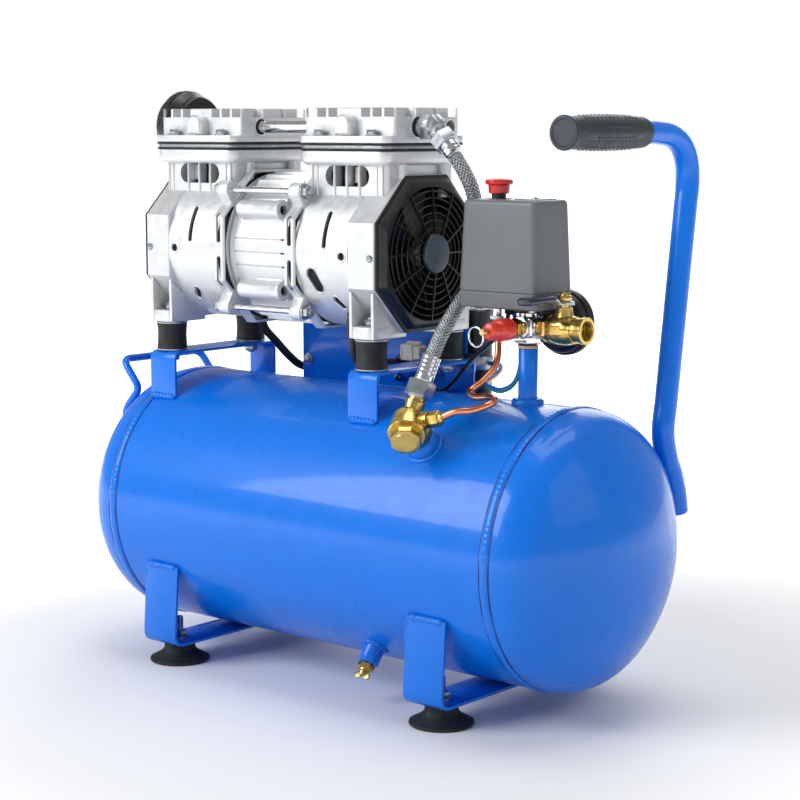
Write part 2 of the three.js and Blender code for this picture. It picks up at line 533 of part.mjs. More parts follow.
function buildFan(side, name) {
  const [inner, outer] = PUMP_U.fan;
  const blades = Array.from({ length: FAN.blades }, (_, i) => {
    const blade = new THREE.BoxGeometry(1.8, outer - inner, FAN.radius - FAN.hub + 4);
    blade.translate(0, 0, (FAN.radius + FAN.hub) / 2 - 2).rotateZ(0.6);
    blade.rotateY((2 * Math.PI * i) / FAN.blades);
    return solid(aim(blade, pump(side, (inner + outer) / 2), vec(side, 0, 0)));
  });
  add(`fan_${name}`, cut(join(pumpBar(side, FAN.hub, inner, outer, ROUND.pad), ...blades),
    pumpBar(side, SHAFT.radius + GAP, inner - 1, outer + 1, ROUND.pad)), 'black');

  const start = PUMP_U.end + GAP;
  const end = start + COVER.thickness;
  const frame = cut(octagon(side, PUMP.drum - 1, start, end),
    pumpBar(side, COVER.grille, start - 1, end - COVER.face),
    octagon(side, PUMP.drum - 5, start - 1, end - COVER.face));
  const width = (COVER.grille - COVER.hub) / (COVER.rings + 1);
  const windows = [];
  for (let ring = 0; ring <= COVER.rings; ring += 1) {
    for (let spoke = 0; spoke < COVER.spokes; spoke += 1) {
      const inside = COVER.hub + ring * width;
      const outside = inside + width - COVER.bar;
      const open = (radius) => Math.PI / COVER.spokes - COVER.bar / 2 / radius;
      const middle = (2 * Math.PI * (spoke + 0.5)) / COVER.spokes;
      const shape = new THREE.Shape();
      shape.absarc(0, PUMP_Z, outside, middle - open(outside), middle + open(outside));
      shape.absarc(0, PUMP_Z, inside, middle + open(inside), middle - open(inside), true);
      const x = [PUMP.x + side * (start - 1), PUMP.x + side * (end + 1)].sort((a, b) => a - b);
      windows.push(alongX(shape, ...x));
    }
  }
  const hub = turned([[0, 0], [COVER.hub, 0], [COVER.hub, 5.5], [COVER.hub * 0.7, 8], [0, 8.6]],
    pump(side, end - 2), vec(side, 0, 0));
  add(`fan_cover_${name}`, join(cut(frame, ...windows), hub), 'black');
}

function buildPumpTop() {
  const seatU = HEAD.u - HEAD.length / 2 + CROSSOVER.seat;
  const inside = (side) => pump(side, seatU, CROSSOVER.y, HEAD_MID - PUMP_Z);
  add('crossover_tube', bar(CROSSOVER.radius, inside(-1), inside(1)), 'steel');

  const face = PUMP.x - HEAD.u - HEAD.length / 2;
  add('intake_filter', join(
    turned([[0, 0], [18, 0], [18, 3], [FILTER.cup, 3], [FILTER.cup, 9], [FILTER.radius - 3, 14],
      [FILTER.radius, 19], [FILTER.radius, FILTER.length - 9], [FILTER.radius - 4, FILTER.length - 2],
      [FILTER.radius - 9, FILTER.length], [0, FILTER.length]],
    vec(face - GAP, FILTER.y, HEAD_MID), vec(-1, 0, 0), 18),
    bar(OUTLET.port - GAP, vec(face + 8, FILTER.y, HEAD_MID), vec(face - 3, FILTER.y, HEAD_MID)),
  ), 'black');

  const start = vec(PUMP.x + HEAD.u + HEAD.length / 2, OUTLET.y, HEAD_MID);
  const turn = start.clone().add(vec(19, 0, 0));
  add('outlet_elbow', join(
    bar(OUTLET.port - GAP, start.clone().add(vec(-8, 0, 0)), start.clone().add(vec(3, 0, 0))),
    prism(19, start.clone().add(vec(GAP, 0, 0)), start.clone().add(vec(9, 0, 0))),
    bar(OUTLET.radius, start.clone().add(vec(8, 0, 0)), turn),
    solid(new THREE.SphereGeometry(9, 10, 6).translate(turn.x, turn.y, turn.z)),
    bar(OUTLET.radius, turn, turn.clone().add(hoseTop.lean.clone().multiplyScalar(11))),
  ), 'zinc');
}

// ---- hose, check valve and unloader tube ---------------------------------------------------
const checkCentre = around(CHECK.x, CHECK.centre, CHECK.angle);
const checkNeck = vec(0.08, 0.42, 0.9).normalize();
const checkCap = vec(0.45, -0.7, -0.55).normalize();
const checkSide = vec(0.97, 0.15, 0.2).normalize();
const hoseTop = {
  lean: vec(0.72, 0, -0.69),
  start: vec(PUMP.x + HEAD.u + HEAD.length / 2 + 19, OUTLET.y, HEAD_MID),
};
const along = (start, direction, distance) => start.clone().addScaledVector(direction, distance);

function buildHose() {
  const upper = along(hoseTop.start, hoseTop.lean, 11 + GAP);
  const lower = along(checkCentre, checkNeck, 24 + GAP);
  const route = [
    along(upper, hoseTop.lean, 15), vec(112, 8, 483), vec(107, 26, 455), vec(106, 37, 428),
    vec(108, 25, 396), vec(111, -8, 370), vec(118, -42, 344), vec(130, -74, 321), along(lower, checkNeck, 30),
  ];
  add('discharge_hose', join(
    cord(route, HOSE.radius, 8, 26),
    prism(HOSE.across - 3, upper, along(upper, hoseTop.lean, 12)),
    bar(HOSE.ferrule - 1, along(upper, hoseTop.lean, 11), along(upper, hoseTop.lean, 18)),
    prism(HOSE.across, lower, along(lower, checkNeck, 16)),
    bar(HOSE.ferrule, along(lower, checkNeck, 15), along(lower, checkNeck, 32)),
  ), 'braid');
}

function buildCheckValve() {
  const bottom = around(CHECK.x, CHECK.bossTop + GAP, CHECK.angle);
  add('check_valve', join(
    prism(CHECK.across, bottom, around(CHECK.x, CHECK.bossTop + 9, CHECK.angle)),
    bar(11, bottom, checkCentre),
    solid(new THREE.SphereGeometry(CHECK.body, 14, 8).translate(...checkCentre.toArray())),
    bar(CHECK.body, along(checkCentre, checkCap, -6), along(checkCentre, checkCap, 18), ROUND.pad),
    bar(CHECK.body + 1.5, along(checkCentre, checkCap, 11), along(checkCentre, checkCap, 16), ROUND.pad),
    prism(26, along(checkCentre, checkCap, 17), along(checkCentre, checkCap, 27), 8),
    bar(8.5, checkCentre, along(checkCentre, checkNeck, 24)),
    bar(6.5, checkCentre, along(checkCentre, checkSide, 22)),
  ), 'brass');
}

function buildUnloaderTube() {
  const nut = along(checkCentre, checkSide, 22 + GAP);
  const baseZ = MANIFOLD.top + GAP;
  const route = [
    along(nut, checkSide, 10), vec(184, -103, 287), vec(198, -96, 289), vec(209, -87, 294),
    vec(207, -76, 297), vec(192, -66, 297), vec(172, -60, 295), vec(162, -54, 298), vec(166, -40, 307),
    vec(168, -24, 320), vec(164, -15, 337), vec(160, -12, 356),
  ];
  add('unloader_tube', join(
    cord(route, 3.2, 8, 34),
    prism(13, nut, along(nut, checkSide, 14)),
    prism(10, vec(160, -12, 352), vec(160, -12, 360)),
    bar(4.5, vec(160, -12, 359), vec(160, -12, baseZ - GAP), ROUND.tiny),
  ), 'copper');
}

// ---- manifold, switch, gauge and valves -----------------------------------------------------
const port = (x, y, z = 0) => vec(RISER.x + x, y, MANIFOLD.z + z);

function buildManifold() {
  add('manifold', join(
    prism(MANIFOLD.across, vec(RISER.x, 0, RISER.top + GAP), vec(RISER.x, 0, RISER.top + 9)),
    bar(MANIFOLD.radius, vec(RISER.x, 0, RISER.top + 8), vec(RISER.x, 0, MANIFOLD.top), ROUND.pad),
    bar(MANIFOLD.arm, port(0, -MANIFOLD.reach), port(0, MANIFOLD.reach)),
    bar(MANIFOLD.arm, port(0, 0), port(MANIFOLD.reach, 0)),
  ), 'zinc');
}

function buildSwitch() {
  const bottom = MANIFOLD.top + GAP;
  const seam = bottom + SWITCH.base;
  const top = seam + SWITCH.cover;
  const outline = roundedRectangle(SWITCH.length, SWITCH.depth, 5);
  const inner = roundedRectangle(SWITCH.length - 2 * SWITCH.wall, SWITCH.depth - 2 * SWITCH.wall, 3);
  add('switch_base', upright(outline, SWITCH.x, SWITCH.y, bottom, seam), 'cover');
  const knob = (z) => vec(KNOB.x, SWITCH.y, z);
  const shell = cut(
    upright(outline, SWITCH.x, SWITCH.y, seam + GAP, top, SWITCH.taper),
    upright(inner, SWITCH.x, SWITCH.y, seam, top - SWITCH.wall, SWITCH.taper),
    bar(KNOB.stem + 0.4, knob(top - 10), knob(top + 10)),
  );
  add('switch_cover', shell, 'cover');
  const rest = top + KNOB.travel + 1;
  add('switch_knob', join(
    bar(KNOB.stem, knob(rest - 26), knob(rest + 1)),
    bar(KNOB.radius, knob(rest), knob(rest + 9), ROUND.pad),
    bar(KNOB.flange, knob(rest + 8), knob(rest + 13), ROUND.pad),
  ), 'red');
}

function buildSafetyValve() {
  const start = -MANIFOLD.reach - GAP;
  const cap = start - SAFETY.nut;
  const tip = cap - SAFETY.capLength;
  const end = tip - SAFETY.tipLength;
  const body = join(
    prism(17, port(0, start), port(0, cap - 1)),
    bar(SAFETY.cap, port(0, cap), port(0, tip), ROUND.pad),
    bar(SAFETY.tip, port(0, tip + 1), port(0, end), ROUND.pad),
  );
  const pinHole = bar(SAFETY.pin + 0.4, port(0, end - 1), port(0, tip + 6), ROUND.tiny);
  add('safety_valve', cut(body, pinHole), 'red');
  const loop = new THREE.TorusGeometry(SAFETY.ring, SAFETY.wire, 5, 18).rotateX(Math.PI / 2);
  const hole = end - 7;
  loop.translate(RISER.x - SAFETY.ring * 0.85, hole, MANIFOLD.z - SAFETY.ring * 0.53);
  add('safety_pin', join(bar(SAFETY.pin, port(0, end - 9), port(0, tip), ROUND.tiny), solid(loop)), 'brass');
}

function buildBallValve() {
  const ball = (x, y = 0, z = 0) => vec(BALL.x + x, y, MANIFOLD.z + z);
  const start = RISER.x + MANIFOLD.reach + GAP - BALL.x;
  const stemTop = 20;
  const body = cut(
    join(
      bar(9.5, ball(start), ball(-12)),
      prism(BALL.across - 2, ball(start + 3), ball(-11)),
      bar(BALL.body, ball(-13), ball(13), ROUND.pad),
      prism(BALL.across, ball(12), ball(BALL.outlet)),
      bar(8, ball(0), ball(0, 0, stemTop)),
    ),
    solid(new THREE.SphereGeometry(BALL.ball + 0.9, 12, 8).translate(BALL.x, 0, MANIFOLD.z)),
    bar(BALL.bore, ball(start - 1), ball(BALL.outlet + 1)),
    bar(BALL.mouth, ball(BALL.ball + 3), ball(BALL.outlet + 1), ROUND.pad),
    bar(4.4, ball(0), ball(0, 0, stemTop + 1)),
  );
  add('ball_valve_body', body, 'brass');
  add('valve_ball', join(
    cut(solid(new THREE.SphereGeometry(BALL.ball, 12, 8).translate(BALL.x, 0, MANIFOLD.z)),
      bar(BALL.bore - 0.5, ball(0, -15), ball(0, 15))),
    bar(4, ball(0, 0, BALL.ball - 2), ball(0, 0, 30)),
    prism(12, ball(0, 0, 25.5), ball(0, 0, 31)),
    bar(5.5, ball(0, 0, 30.9), ball(0, 0, 34), ROUND.small, 3),
  ), 'brass');
  const leverZ = [MANIFOLD.z + stemTop + 2, MANIFOLD.z + stemTop + 5];
  const raised = [leverZ[0] + 5, leverZ[1] + 5];
  const lever = join(
    block([BALL.x - 9, BALL.x + 9], [-15, 0], leverZ),
    bar(9, vec(BALL.x, 0, leverZ[0]), vec(BALL.x, 0, leverZ[1]), ROUND.pad),
    block([BALL.x - 7, BALL.x + 7], [-17, -14], [leverZ[0], raised[1]]),
    block([BALL.x - 7, BALL.x + 7], [-BALL.lever, -16], [raised[0] - 1, raised[1]]),
  );
  add('valve_lever', cut(lever, bar(4.3, ball(0, 0, stemTop), ball(0, 0, stemTop + 6))), 'zinc');
}

function buildGauge() {
  const face = GAUGE.y + GAUGE.depth;
  const rim = GAUGE.radius - GAUGE.lip;
  const profile = [
    [0, 0], [7, 0], [7, GAUGE.y - MANIFOLD.reach - GAP], [GAUGE.radius - 3, GAUGE.y - MANIFOLD.reach - GAP],
    [GAUGE.radius - 2, GAUGE.y - MANIFOLD.reach + 6], [GAUGE.radius, GAUGE.y - MANIFOLD.reach + 8],
    [GAUGE.radius, face - MANIFOLD.reach - GAP], [rim, face - MANIFOLD.reach - GAP],
    [rim, face - GAUGE.recess - MANIFOLD.reach], [0, face - GAUGE.recess - MANIFOLD.reach],
  ];
  const shell = turned(profile, port(0, MANIFOLD.reach + GAP), vec(0, 1, 0), 20);
  const dial = face - GAUGE.recess + GAP;
  add('gauge_case', cut(shell, bar(1.4, port(0, dial - 4), port(0, dial + 4), ROUND.tiny)), 'black');
  const needle = new THREE.Shape([
    new THREE.Vector2(-1.6, -6), new THREE.Vector2(1.6, -6), new THREE.Vector2(0.5, rim - 6),
    new THREE.Vector2(-0.5, rim - 6),
  ]);
  const blade = new THREE.ExtrudeGeometry(needle, { depth: 0.8, bevelEnabled: false });
  blade.rotateX(Math.PI / 2).rotateY((3 * Math.PI) / 4).translate(RISER.x, dial + 1.8, MANIFOLD.z);
  add('gauge_needle', join(
    solid(blade),
    bar(3, port(0, dial + 0.6), port(0, dial + 2.6), ROUND.tiny),
    bar(1.1, port(0, dial - 3), port(0, dial + 1), ROUND.tiny),
  ), 'steel');
}

function buildDrain() {
  const at = (radius) => around(DRAIN.x, radius, DRAIN_TURN);
  const start = DRAIN.bossTop + GAP;
  const end = start + DRAIN.length;
  const thread = bar(3.3, at(start + 1), at(end + 1), ROUND.tiny);
  add('drain_valve', cut(prism(DRAIN.across, at(start), at(end)), thread), 'brass');
  const wing = new THREE.BoxGeometry(18, 5, 2.5);
  const middle = at(end + 4.5);
  const direction = at(1).sub(at(0)).normalize();
  add('drain_screw', join(
    bar(3, at(start + 2), at(end + 6), ROUND.tiny),
    bar(4.5, at(end + GAP), at(end + 3), ROUND.tiny),
    solid(aim(wing, middle, direction)),
  ), 'brass');
}

// ---- handles ------------------------------------------------------------------------------
function buildHandle() {
  const offset = TANK.radius - 6 + HANDLE.tube + 1.5;
  const onTank = (degrees) => {
    const angle = THREE.MathUtils.degToRad(degrees);
    return vec(HANDLE.x, offset * Math.cos(angle), TANK.z + offset * Math.sin(angle));
  };
  const [lowY, highY] = HANDLE.lean;
  const corner = vec(HANDLE.x, highY + 4, HANDLE.top);
  const end = vec(HANDLE.x, HANDLE.gripEnds[1] + 5, HANDLE.top);
  const bottom = [8, 16, 24, 32].map(onTank);
  const riseFoot = TANK.z + 86;
  const rise = (z) => (
    vec(HANDLE.x, lowY + (highY - lowY) * ((z - riseFoot) / (HANDLE.top - 43 - riseFoot)), z));
  const points = [...bottom, ...[12, 40, 90, 160].map((z) => rise(riseFoot + z)), rise(HANDLE.top - 68)];
  for (let i = 0; i <= 4; i += 1) {
    const share = i / 4;
    const down = rise(HANDLE.top - 52).lerp(corner, share);
    const over = corner.clone().lerp(vec(HANDLE.x, HANDLE.gripEnds[0] + 22, HANDLE.top), share);
    points.push(down.lerp(over, share));
  }
  points.push(vec(HANDLE.x, HANDLE.gripEnds[0], HANDLE.top), vec(HANDLE.x, 0, HANDLE.top), end);
  const curve = new THREE.CatmullRomCurve3(points, false, 'centripetal');
  add('handle_tube', swept(curve, HANDLE.tube, 10, 24, HANDLE.wall), 'blue');

  const [near, far] = HANDLE.gripEnds;
  const length = near - far;
  const bore = HANDLE.tube + GAP;
  const barrel = Array.from({ length: 9 }, (_, i) => {
    const share = i / 8;
    return [HANDLE.grip - 1.5 + 1.8 * Math.sin(Math.PI * share), 2 + (length - 5) * share];
  });
  add('handle_grip', turned([
    [bore, 0], [HANDLE.grip - 2.5, 0], ...barrel, [HANDLE.grip - 4, length], [0, length], [0, length - 4.5],
    [bore, length - 4.5], [bore, 0],
  ], vec(HANDLE.x, near, HANDLE.top), vec(0, -1, 0)), 'rubber');
}

function buildCarryRod() {
  const { x, y, z } = CARRY;
  const leg = (side) => [vec(x, side * y, z), vec(x + 25, side * y, z - 29), vec(x + 3, side * y, z - 53),
    vec(x + 3, side * y, z - 100)];
  const path = bentPath([...leg(-1).reverse(), ...leg(1)], 9);
  add('carry_rod', cut(swept(path, CARRY.radius, 8, 34), domeSpace(-1, GAP)), 'blue');
}

// ---- electrical pieces ----------------------------------------------------------------------
/** A cable gland under a crankcase drum, trimmed to the drum's round wall. */
function gland(x, y, length) {
  const top = PUMP_Z - PUMP.drum + 30;
  const bottom = PUMP_Z - PUMP.drum - length;
  const drum = bar(PUMP.drum + GAP, vec(x - 20, 0, PUMP_Z), vec(x + 20, 0, PUMP_Z), ROUND.pump);
  return { body: cut(bar(6.5, vec(x, y, bottom), vec(x, y, top), ROUND.tiny), drum), bottom };
}

function buildElectrics() {
  const [x0, x1] = BOX.x;
  const [y0, y1] = BOX.y;
  const [z0, z1] = BOX.z;
  const plateFoot = TANK.z + 80;
  const front = [y0, y0 + BOX.sheet];
  const box = join(
    cut(block([x0, x1], [y0, y1], [z0, z1]),
      block([x0 + BOX.sheet, x1 - BOX.sheet], [y0 + BOX.sheet, y1 - BOX.sheet],
        [z0 + BOX.sheet, z1 - BOX.sheet]),
      bar(5.5, vec(x0 - 1, y0 + 12, z0 + 12), vec(x0 + BOX.sheet + 1, y0 + 12, z0 + 12))),
    block([x0, x1 + BOX.plate], front, [plateFoot, z1]),
    block([x0, x1 + BOX.tab], front, [plateFoot, SADDLE.top]),
  );
  const skin = bar(TANK.radius + 2 * GAP, vec(x0 - 1, 0, TANK.z), vec(x1 + 40, 0, TANK.z), 2 * ROUND.tank);
  add('control_box', cut(box, skin), 'blue');

  const can = (z) => vec(CAPACITOR.x, CAPACITOR.y, z);
  const seat = TANK.z + Math.sqrt(TANK.radius ** 2 - (CAPACITOR.y - CAPACITOR.radius) ** 2) + GAP;
  const [strapLow, strapHigh] = CAPACITOR.strap;
  add('capacitor', join(
    bar(CAPACITOR.radius, can(seat), can(CAPACITOR.top), ROUND.pad),
    bar(CAPACITOR.radius + 1.2, can(strapLow), can(strapHigh), ROUND.pad),
  ), 'black');

  const motor = gland(13, -44, 6);
  add('motor_cable', join(motor.body, cord([
    vec(13, -44, motor.bottom + 4), vec(12, -43, 326), vec(10, -36, 315), vec(4, -18, 308), vec(-8, 12, 304),
    vec(-12, 45, 302), vec(-12, y0 - 10, 300), vec(-12, y0 - GAP, 300)], 4.4, 8, 20)), 'black');
  const rear = gland(-192, 42, 6);
  add('rear_cable', join(rear.body, cord([
    vec(-192, 42, rear.bottom + 4), vec(-193, 48, 325), vec(-189, 61, 310), vec(-183, 73, 295),
    vec(-179, 84, 285), vec(-176, 90, 282), vec(x0 - 3 * GAP, y0 + 12, z0 + 12)], 4.4, 8, 18)), 'black');

  const grommet = vec(RISER.x - 29, 12, MANIFOLD.top);
  const strapSide = CAPACITOR.x + CAPACITOR.radius + 1.2 + GAP;
  add('wiring_harness', join(
    bar(6, grommet, vec(grommet.x, 12, grommet.z - 7), ROUND.tiny),
    cord([vec(8, y0 - 3 * GAP, 282), vec(8, y0 - 6, 281), vec(14, 69, 275), vec(24, 67, 274), vec(40, 63, 279),
      vec(61, 54, 292), vec(91, 38, 313), vec(122, 24, 331), vec(148, 15, 350), vec(156, 12, grommet.z - 4)],
    2.6, 8, 24),
    cord([vec(160, 12, grommet.z - 4), vec(170, 8, 345), vec(172, 8, 318), vec(163, 10, 299), vec(146, 14, 291),
      vec(128, 22, 291), vec(106, 44, 290), vec(92, 68, 292), vec(88, 88, 299), vec(80, 96, 303),
      vec(strapSide, 96, 303)], 2.6, 8, 24),
  ), 'black');
}

buildTank();
buildLegs();
buildSaddles();
for (const [name, side] of [['left', -1], ['right', 1]]) {
  buildCrankcase(side, name);
  buildHead(side, name);
  buildPiston(side, name);
  buildFan(side, name);
}
buildMotor();
buildPumpTop();
buildHose();
buildCheckValve();
buildUnloaderTube();
buildManifold();
buildSwitch();
buildSafetyValve();
buildBallValve();
buildGauge();
buildDrain();
buildHandle();
buildCarryRod();
buildElectrics();

// The origin is the middle of the bounding box's floor.
const bounds = new THREE.Box3().setFromObject(model);
const middle = bounds.getCenter(vec(0, 0, 0));
model.position.set(-middle.x, -middle.y, -bounds.min.z);
model.updateMatrixWorld(true);

export default model;
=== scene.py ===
"""The looks of a small twin-pump air compressor: a blue tank on rubber feet, with the pump,
air line, controls, wiring and handles on it, dressed over the bodies of the frame.

Lengths are in millimetres in the row frame until a piece is written, which is in metres.
"""

import logging
import math
from collections.abc import Callable, Sequence
from dataclasses import dataclass, field
from enum import Enum
from functools import cache

import bmesh
import bpy
import numpy as np
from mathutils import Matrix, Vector


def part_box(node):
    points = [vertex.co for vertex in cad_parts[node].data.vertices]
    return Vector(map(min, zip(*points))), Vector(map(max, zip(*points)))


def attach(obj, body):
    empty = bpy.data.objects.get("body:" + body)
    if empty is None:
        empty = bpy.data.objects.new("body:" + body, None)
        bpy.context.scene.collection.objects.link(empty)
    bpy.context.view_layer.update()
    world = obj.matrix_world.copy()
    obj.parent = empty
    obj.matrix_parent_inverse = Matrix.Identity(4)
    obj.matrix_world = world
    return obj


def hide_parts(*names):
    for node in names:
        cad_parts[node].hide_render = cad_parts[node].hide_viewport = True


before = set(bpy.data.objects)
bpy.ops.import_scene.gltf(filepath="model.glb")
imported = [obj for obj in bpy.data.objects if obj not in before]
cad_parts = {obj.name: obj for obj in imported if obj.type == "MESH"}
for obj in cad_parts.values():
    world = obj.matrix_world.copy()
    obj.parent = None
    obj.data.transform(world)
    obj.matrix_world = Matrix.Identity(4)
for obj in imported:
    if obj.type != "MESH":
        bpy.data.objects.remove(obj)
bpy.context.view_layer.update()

log = logging.getLogger("air_compressor")
Array = np.ndarray
Socket = bpy.types.NodeSocket
Profile = Sequence[tuple[float, float]]
X, Y, Z = np.eye(3)


# ---- vectors and outlines
def vec(x: float, y: float, z: float) -> Array:
    """A point or direction."""
    return np.array([x, y, z], float)


def unit(direction: Array) -> Array:
    """The direction at length one."""
    return np.asarray(direction, float) / np.linalg.norm(direction)


def across(direction: Array, up: Array | None = None) -> tuple[Array, Array]:
    """Two unit vectors square to a direction.

    Args:
        direction: the way the pair is square to.
        up: the second vector leans as near to this as it can.

    Returns:
        The pair, so that first × second = direction.
    """
    d = unit(direction)
    guide = up if up is not None else (Z if abs(d[2]) < 0.9 else Y)
    second = unit(guide - d * float(np.dot(guide, d)))
    return np.cross(second, d), second


def circle(radius: float, sides: int, start: float = 0.0) -> Array:
    """An outline of points evenly round a circle, from a start angle in turns."""
    a = 2 * math.pi * (np.arange(sides) / sides + start)
    return radius * np.stack([np.cos(a), np.sin(a)], 1)


def polygon(sides: int, flats: float, start: float = 0.5) -> Array:
    """A regular outline by its width across flats; start is in sides."""
    return circle(flats / 2 / math.cos(math.pi / sides), sides, start / sides)


def rounded(width: float, height: float, corner: float, steps: int = 5) -> Array:
    """A rectangle with round corners: a quarter circle at each, counter-clockwise."""
    corner = min(corner, width / 2 - 0.01, height / 2 - 0.01)
    points = []
    for quarter, (sx, sy) in enumerate([(1, 1), (-1, 1), (-1, -1), (1, -1)]):
        a = math.pi / 2 * (quarter + np.linspace(0, 1, steps))
        middle = [sx * (width / 2 - corner), sy * (height / 2 - corner)]
        points.append(middle + corner * np.stack([np.cos(a), np.sin(a)], 1))
    return np.concatenate(points)


def spokes(count: int, first: Array, second: Array) -> list[Array]:
    """Directions evenly round a circle, from the first towards the second."""
    turns = [2 * math.pi * i / count for i in range(count)]
    return [math.cos(t) * first + math.sin(t) * second for t in turns]


def inset(outline: Array, depth: float) -> Array:
    """The outline moved inward: each point goes along its corner's mitre."""
    ahead = np.roll(outline, -1, 0) - outline
    normal = np.stack([-ahead[:, 1], ahead[:, 0]], 1)
    normal /= np.maximum(np.linalg.norm(normal, axis=1, keepdims=True), 1e-9)
    both = normal + np.roll(normal, 1, 0)
    both /= np.maximum((both**2).sum(1, keepdims=True) / 2, 0.25)
    area = np.cross(outline, np.roll(outline, -1, 0)).sum()
    return outline + both * depth * (1 if area > 0 else -1)


def curve(points: Sequence[Array], steps: int = 8) -> Array:
    """A smooth line through points: a centripetal Catmull-Rom spline."""
    p = np.array([2 * points[0] - points[1], *points, 2 * points[-1] - points[-2]], float)
    line = []
    for a, b, c, d in zip(p, p[1:], p[2:], p[3:]):
        t0 = 0.0
        t1 = t0 + np.linalg.norm(b - a) ** 0.5
        t2 = t1 + np.linalg.norm(c - b) ** 0.5
        t3 = t2 + np.linalg.norm(d - c) ** 0.5
        for t in np.linspace(t1, t2, steps, endpoint=False):
            a1 = (t1 - t) / (t1 - t0) * a + (t - t0) / (t1 - t0) * b
            a2 = (t2 - t) / (t2 - t1) * b + (t - t1) / (t2 - t1) * c
            a3 = (t3 - t) / (t3 - t2) * c + (t - t2) / (t3 - t2) * d
            b1 = (t2 - t) / (t2 - t0) * a1 + (t - t0) / (t2 - t0) * a2
            b2 = (t3 - t) / (t3 - t1) * a2 + (t - t1) / (t3 - t1) * a3
            line.append((t2 - t) / (t2 - t1) * b1 + (t - t1) / (t2 - t1) * b2)
    return np.array([*line, p[-2]])


def bent(points: Sequence[Array], bend: float | Sequence[float], steps: int = 6) -> Array:
    """Straight runs joined by bends, each bend starting a given length from its corner."""
    bends = [bend] * (len(points) - 2) if isinstance(bend, (int, float)) else list(bend)
    line = [points[0]]
    for before, corner, after, b in zip(points, points[1:], points[2:], bends):
        start = corner + unit(before - corner) * b
        end = corner + unit(after - corner) * b
        t = np.linspace(0, 1, steps)[:, None]
        line.extend((1 - t) ** 2 * start + 2 * t * (1 - t) * corner + t**2 * end)
    return np.array([*line, points[-1]])


# ---- solids
@dataclass
class Solid:
    """A closed surface: points, faces as indices, and (around, along) at each face corner."""

    points: Array
    faces: list[tuple[int, ...]]
    wrap: list[list[tuple[float, float]]] = field(default_factory=list)

    def outward(self) -> "Solid":
        """The same surface with its faces turned outward, by the sign of its volume."""
        fans = [(f[0], a, b) for f in self.faces for a, b in zip(f[1:], f[2:])]
        p, q, r = (self.points[np.array(fans)[:, i]] for i in range(3))
        if float(np.einsum("ij,ij->i", p, np.cross(q, r)).sum()) < 0:
            self.faces = [f[::-1] for f in self.faces]
            self.wrap = [w[::-1] for w in self.wrap]
        return self


def loft(rings: Sequence[Array], loop: bool = False) -> Solid:
    """A skin over rings of points; a ring of one point is a pole, and open ends are capped."""
    n = max(len(r) for r in rings)
    first = np.cumsum([0, *[len(r) for r in rings]])
    middle = [r.mean(0) for r in rings]
    along = np.cumsum([0.0, *[float(np.linalg.norm(b - a)) for a, b in zip(middle, middle[1:])]])
    solid = Solid(np.concatenate(rings), [])
    pairs = [(i, i + 1) for i in range(len(rings) - 1)] + ([(len(rings) - 1, 0)] if loop else [])
    for a, b in pairs:
        va, vb = along[a], along[b] if b else along[-1] + 1
        for j in range(n):
            k = (j + 1) % n
            low = [(first[a] + j, j, va), (first[a] + k, j + 1, va)]
            high = [(first[b] + k, j + 1, vb), (first[b] + j, j, vb)]
            if len(rings[a]) == 1:
                low = [(first[a], j + 0.5, va)]
            if len(rings[b]) == 1:
                high = [(first[b], j + 0.5, vb)]
            corners = low + high
            solid.faces.append(tuple(int(c[0]) for c in corners))
            solid.wrap.append([(c[1] / n, c[2]) for c in corners])
    if not loop:
        for i in (0, len(rings) - 1):
            if len(rings[i]) > 1:
                cap = tuple(int(first[i] + j) for j in range(n))
                solid.faces.append(cap[::-1] if i == 0 else cap)
                solid.wrap.append([(0.0, along[i])] * n)
    return solid.outward()


def ring(outline: Array, at: Array, direction: Array, up: Array | None = None) -> Array:
    """A flat outline placed at a point, square to a direction."""
    first, second = across(direction, up)
    return at + outline[:, :1] * first + outline[:, 1:] * second


def prism(outline: Array, at: Array, direction: Array, depth: float, up: Array | None = None,
          edge: float = 0.0, steps: int = 2, end: float | None = None) -> Solid:
    """An outline carried straight, with both ends' edges rounded.

    Args:
        outline: the cross-section.
        at: where its middle starts.
        direction: the way it goes.
        depth: how far it goes.
        up: the outline's second axis leans to this.
        edge: the radius of the first end's edge, a quarter circle of insets.
        steps: the facets of each rounded edge.
        end: the same for the far end, if it differs.
    """
    d = unit(direction)
    last = edge if end is None else end
    t = np.linspace(0, math.pi / 2, steps + 1)
    head = [(edge * (1 - math.sin(a)), edge * (1 - math.cos(a))) for a in t]
    tail = [(last * (1 - math.sin(a)), depth - last * (1 - math.cos(a))) for a in t[::-1]]
    rows = (head if edge else [(0.0, 0.0)]) + (tail if last else [(0.0, depth)])
    return loft([ring(inset(outline, i) if i > 1e-9 else outline, at + d * z, d, up) for i, z in rows])


def revolve(profile: Profile, at: Array, direction: Array,
            sides: int = 40, loop: bool = False) -> Solid:
    """A profile of (along, radius) turned about a direction; a radius of 0 is a pole."""
    d = unit(direction)
    rings = [ring(circle(r, sides), at + d * z, d) if r > 1e-6 else (at + d * z)[None] for z, r in profile]
    return loft(rings, loop)


def turned(profile: Profile, at: Array, direction: Array, sides: int = 40) -> Solid:
    """A profile turned about a direction and closed by a flat pole at each end."""
    return revolve([(profile[0][0], 0), *profile, (profile[-1][0], 0)], at, direction, sides)


def disc(radius: float, thick: float, at: Array, direction: Array, sides: int) -> Solid:
    """A plain disc or plug."""
    return turned([(0, radius), (thick, radius)], at, direction, sides)


def hexagon(flats: float, at: Array, direction: Array, height: float, edge: float, end: float) -> Solid:
    """A nut or bolt head by its width across flats, with both ends' edges rounded."""
    return prism(polygon(6, flats), at, direction, height, None, edge, 2, end)


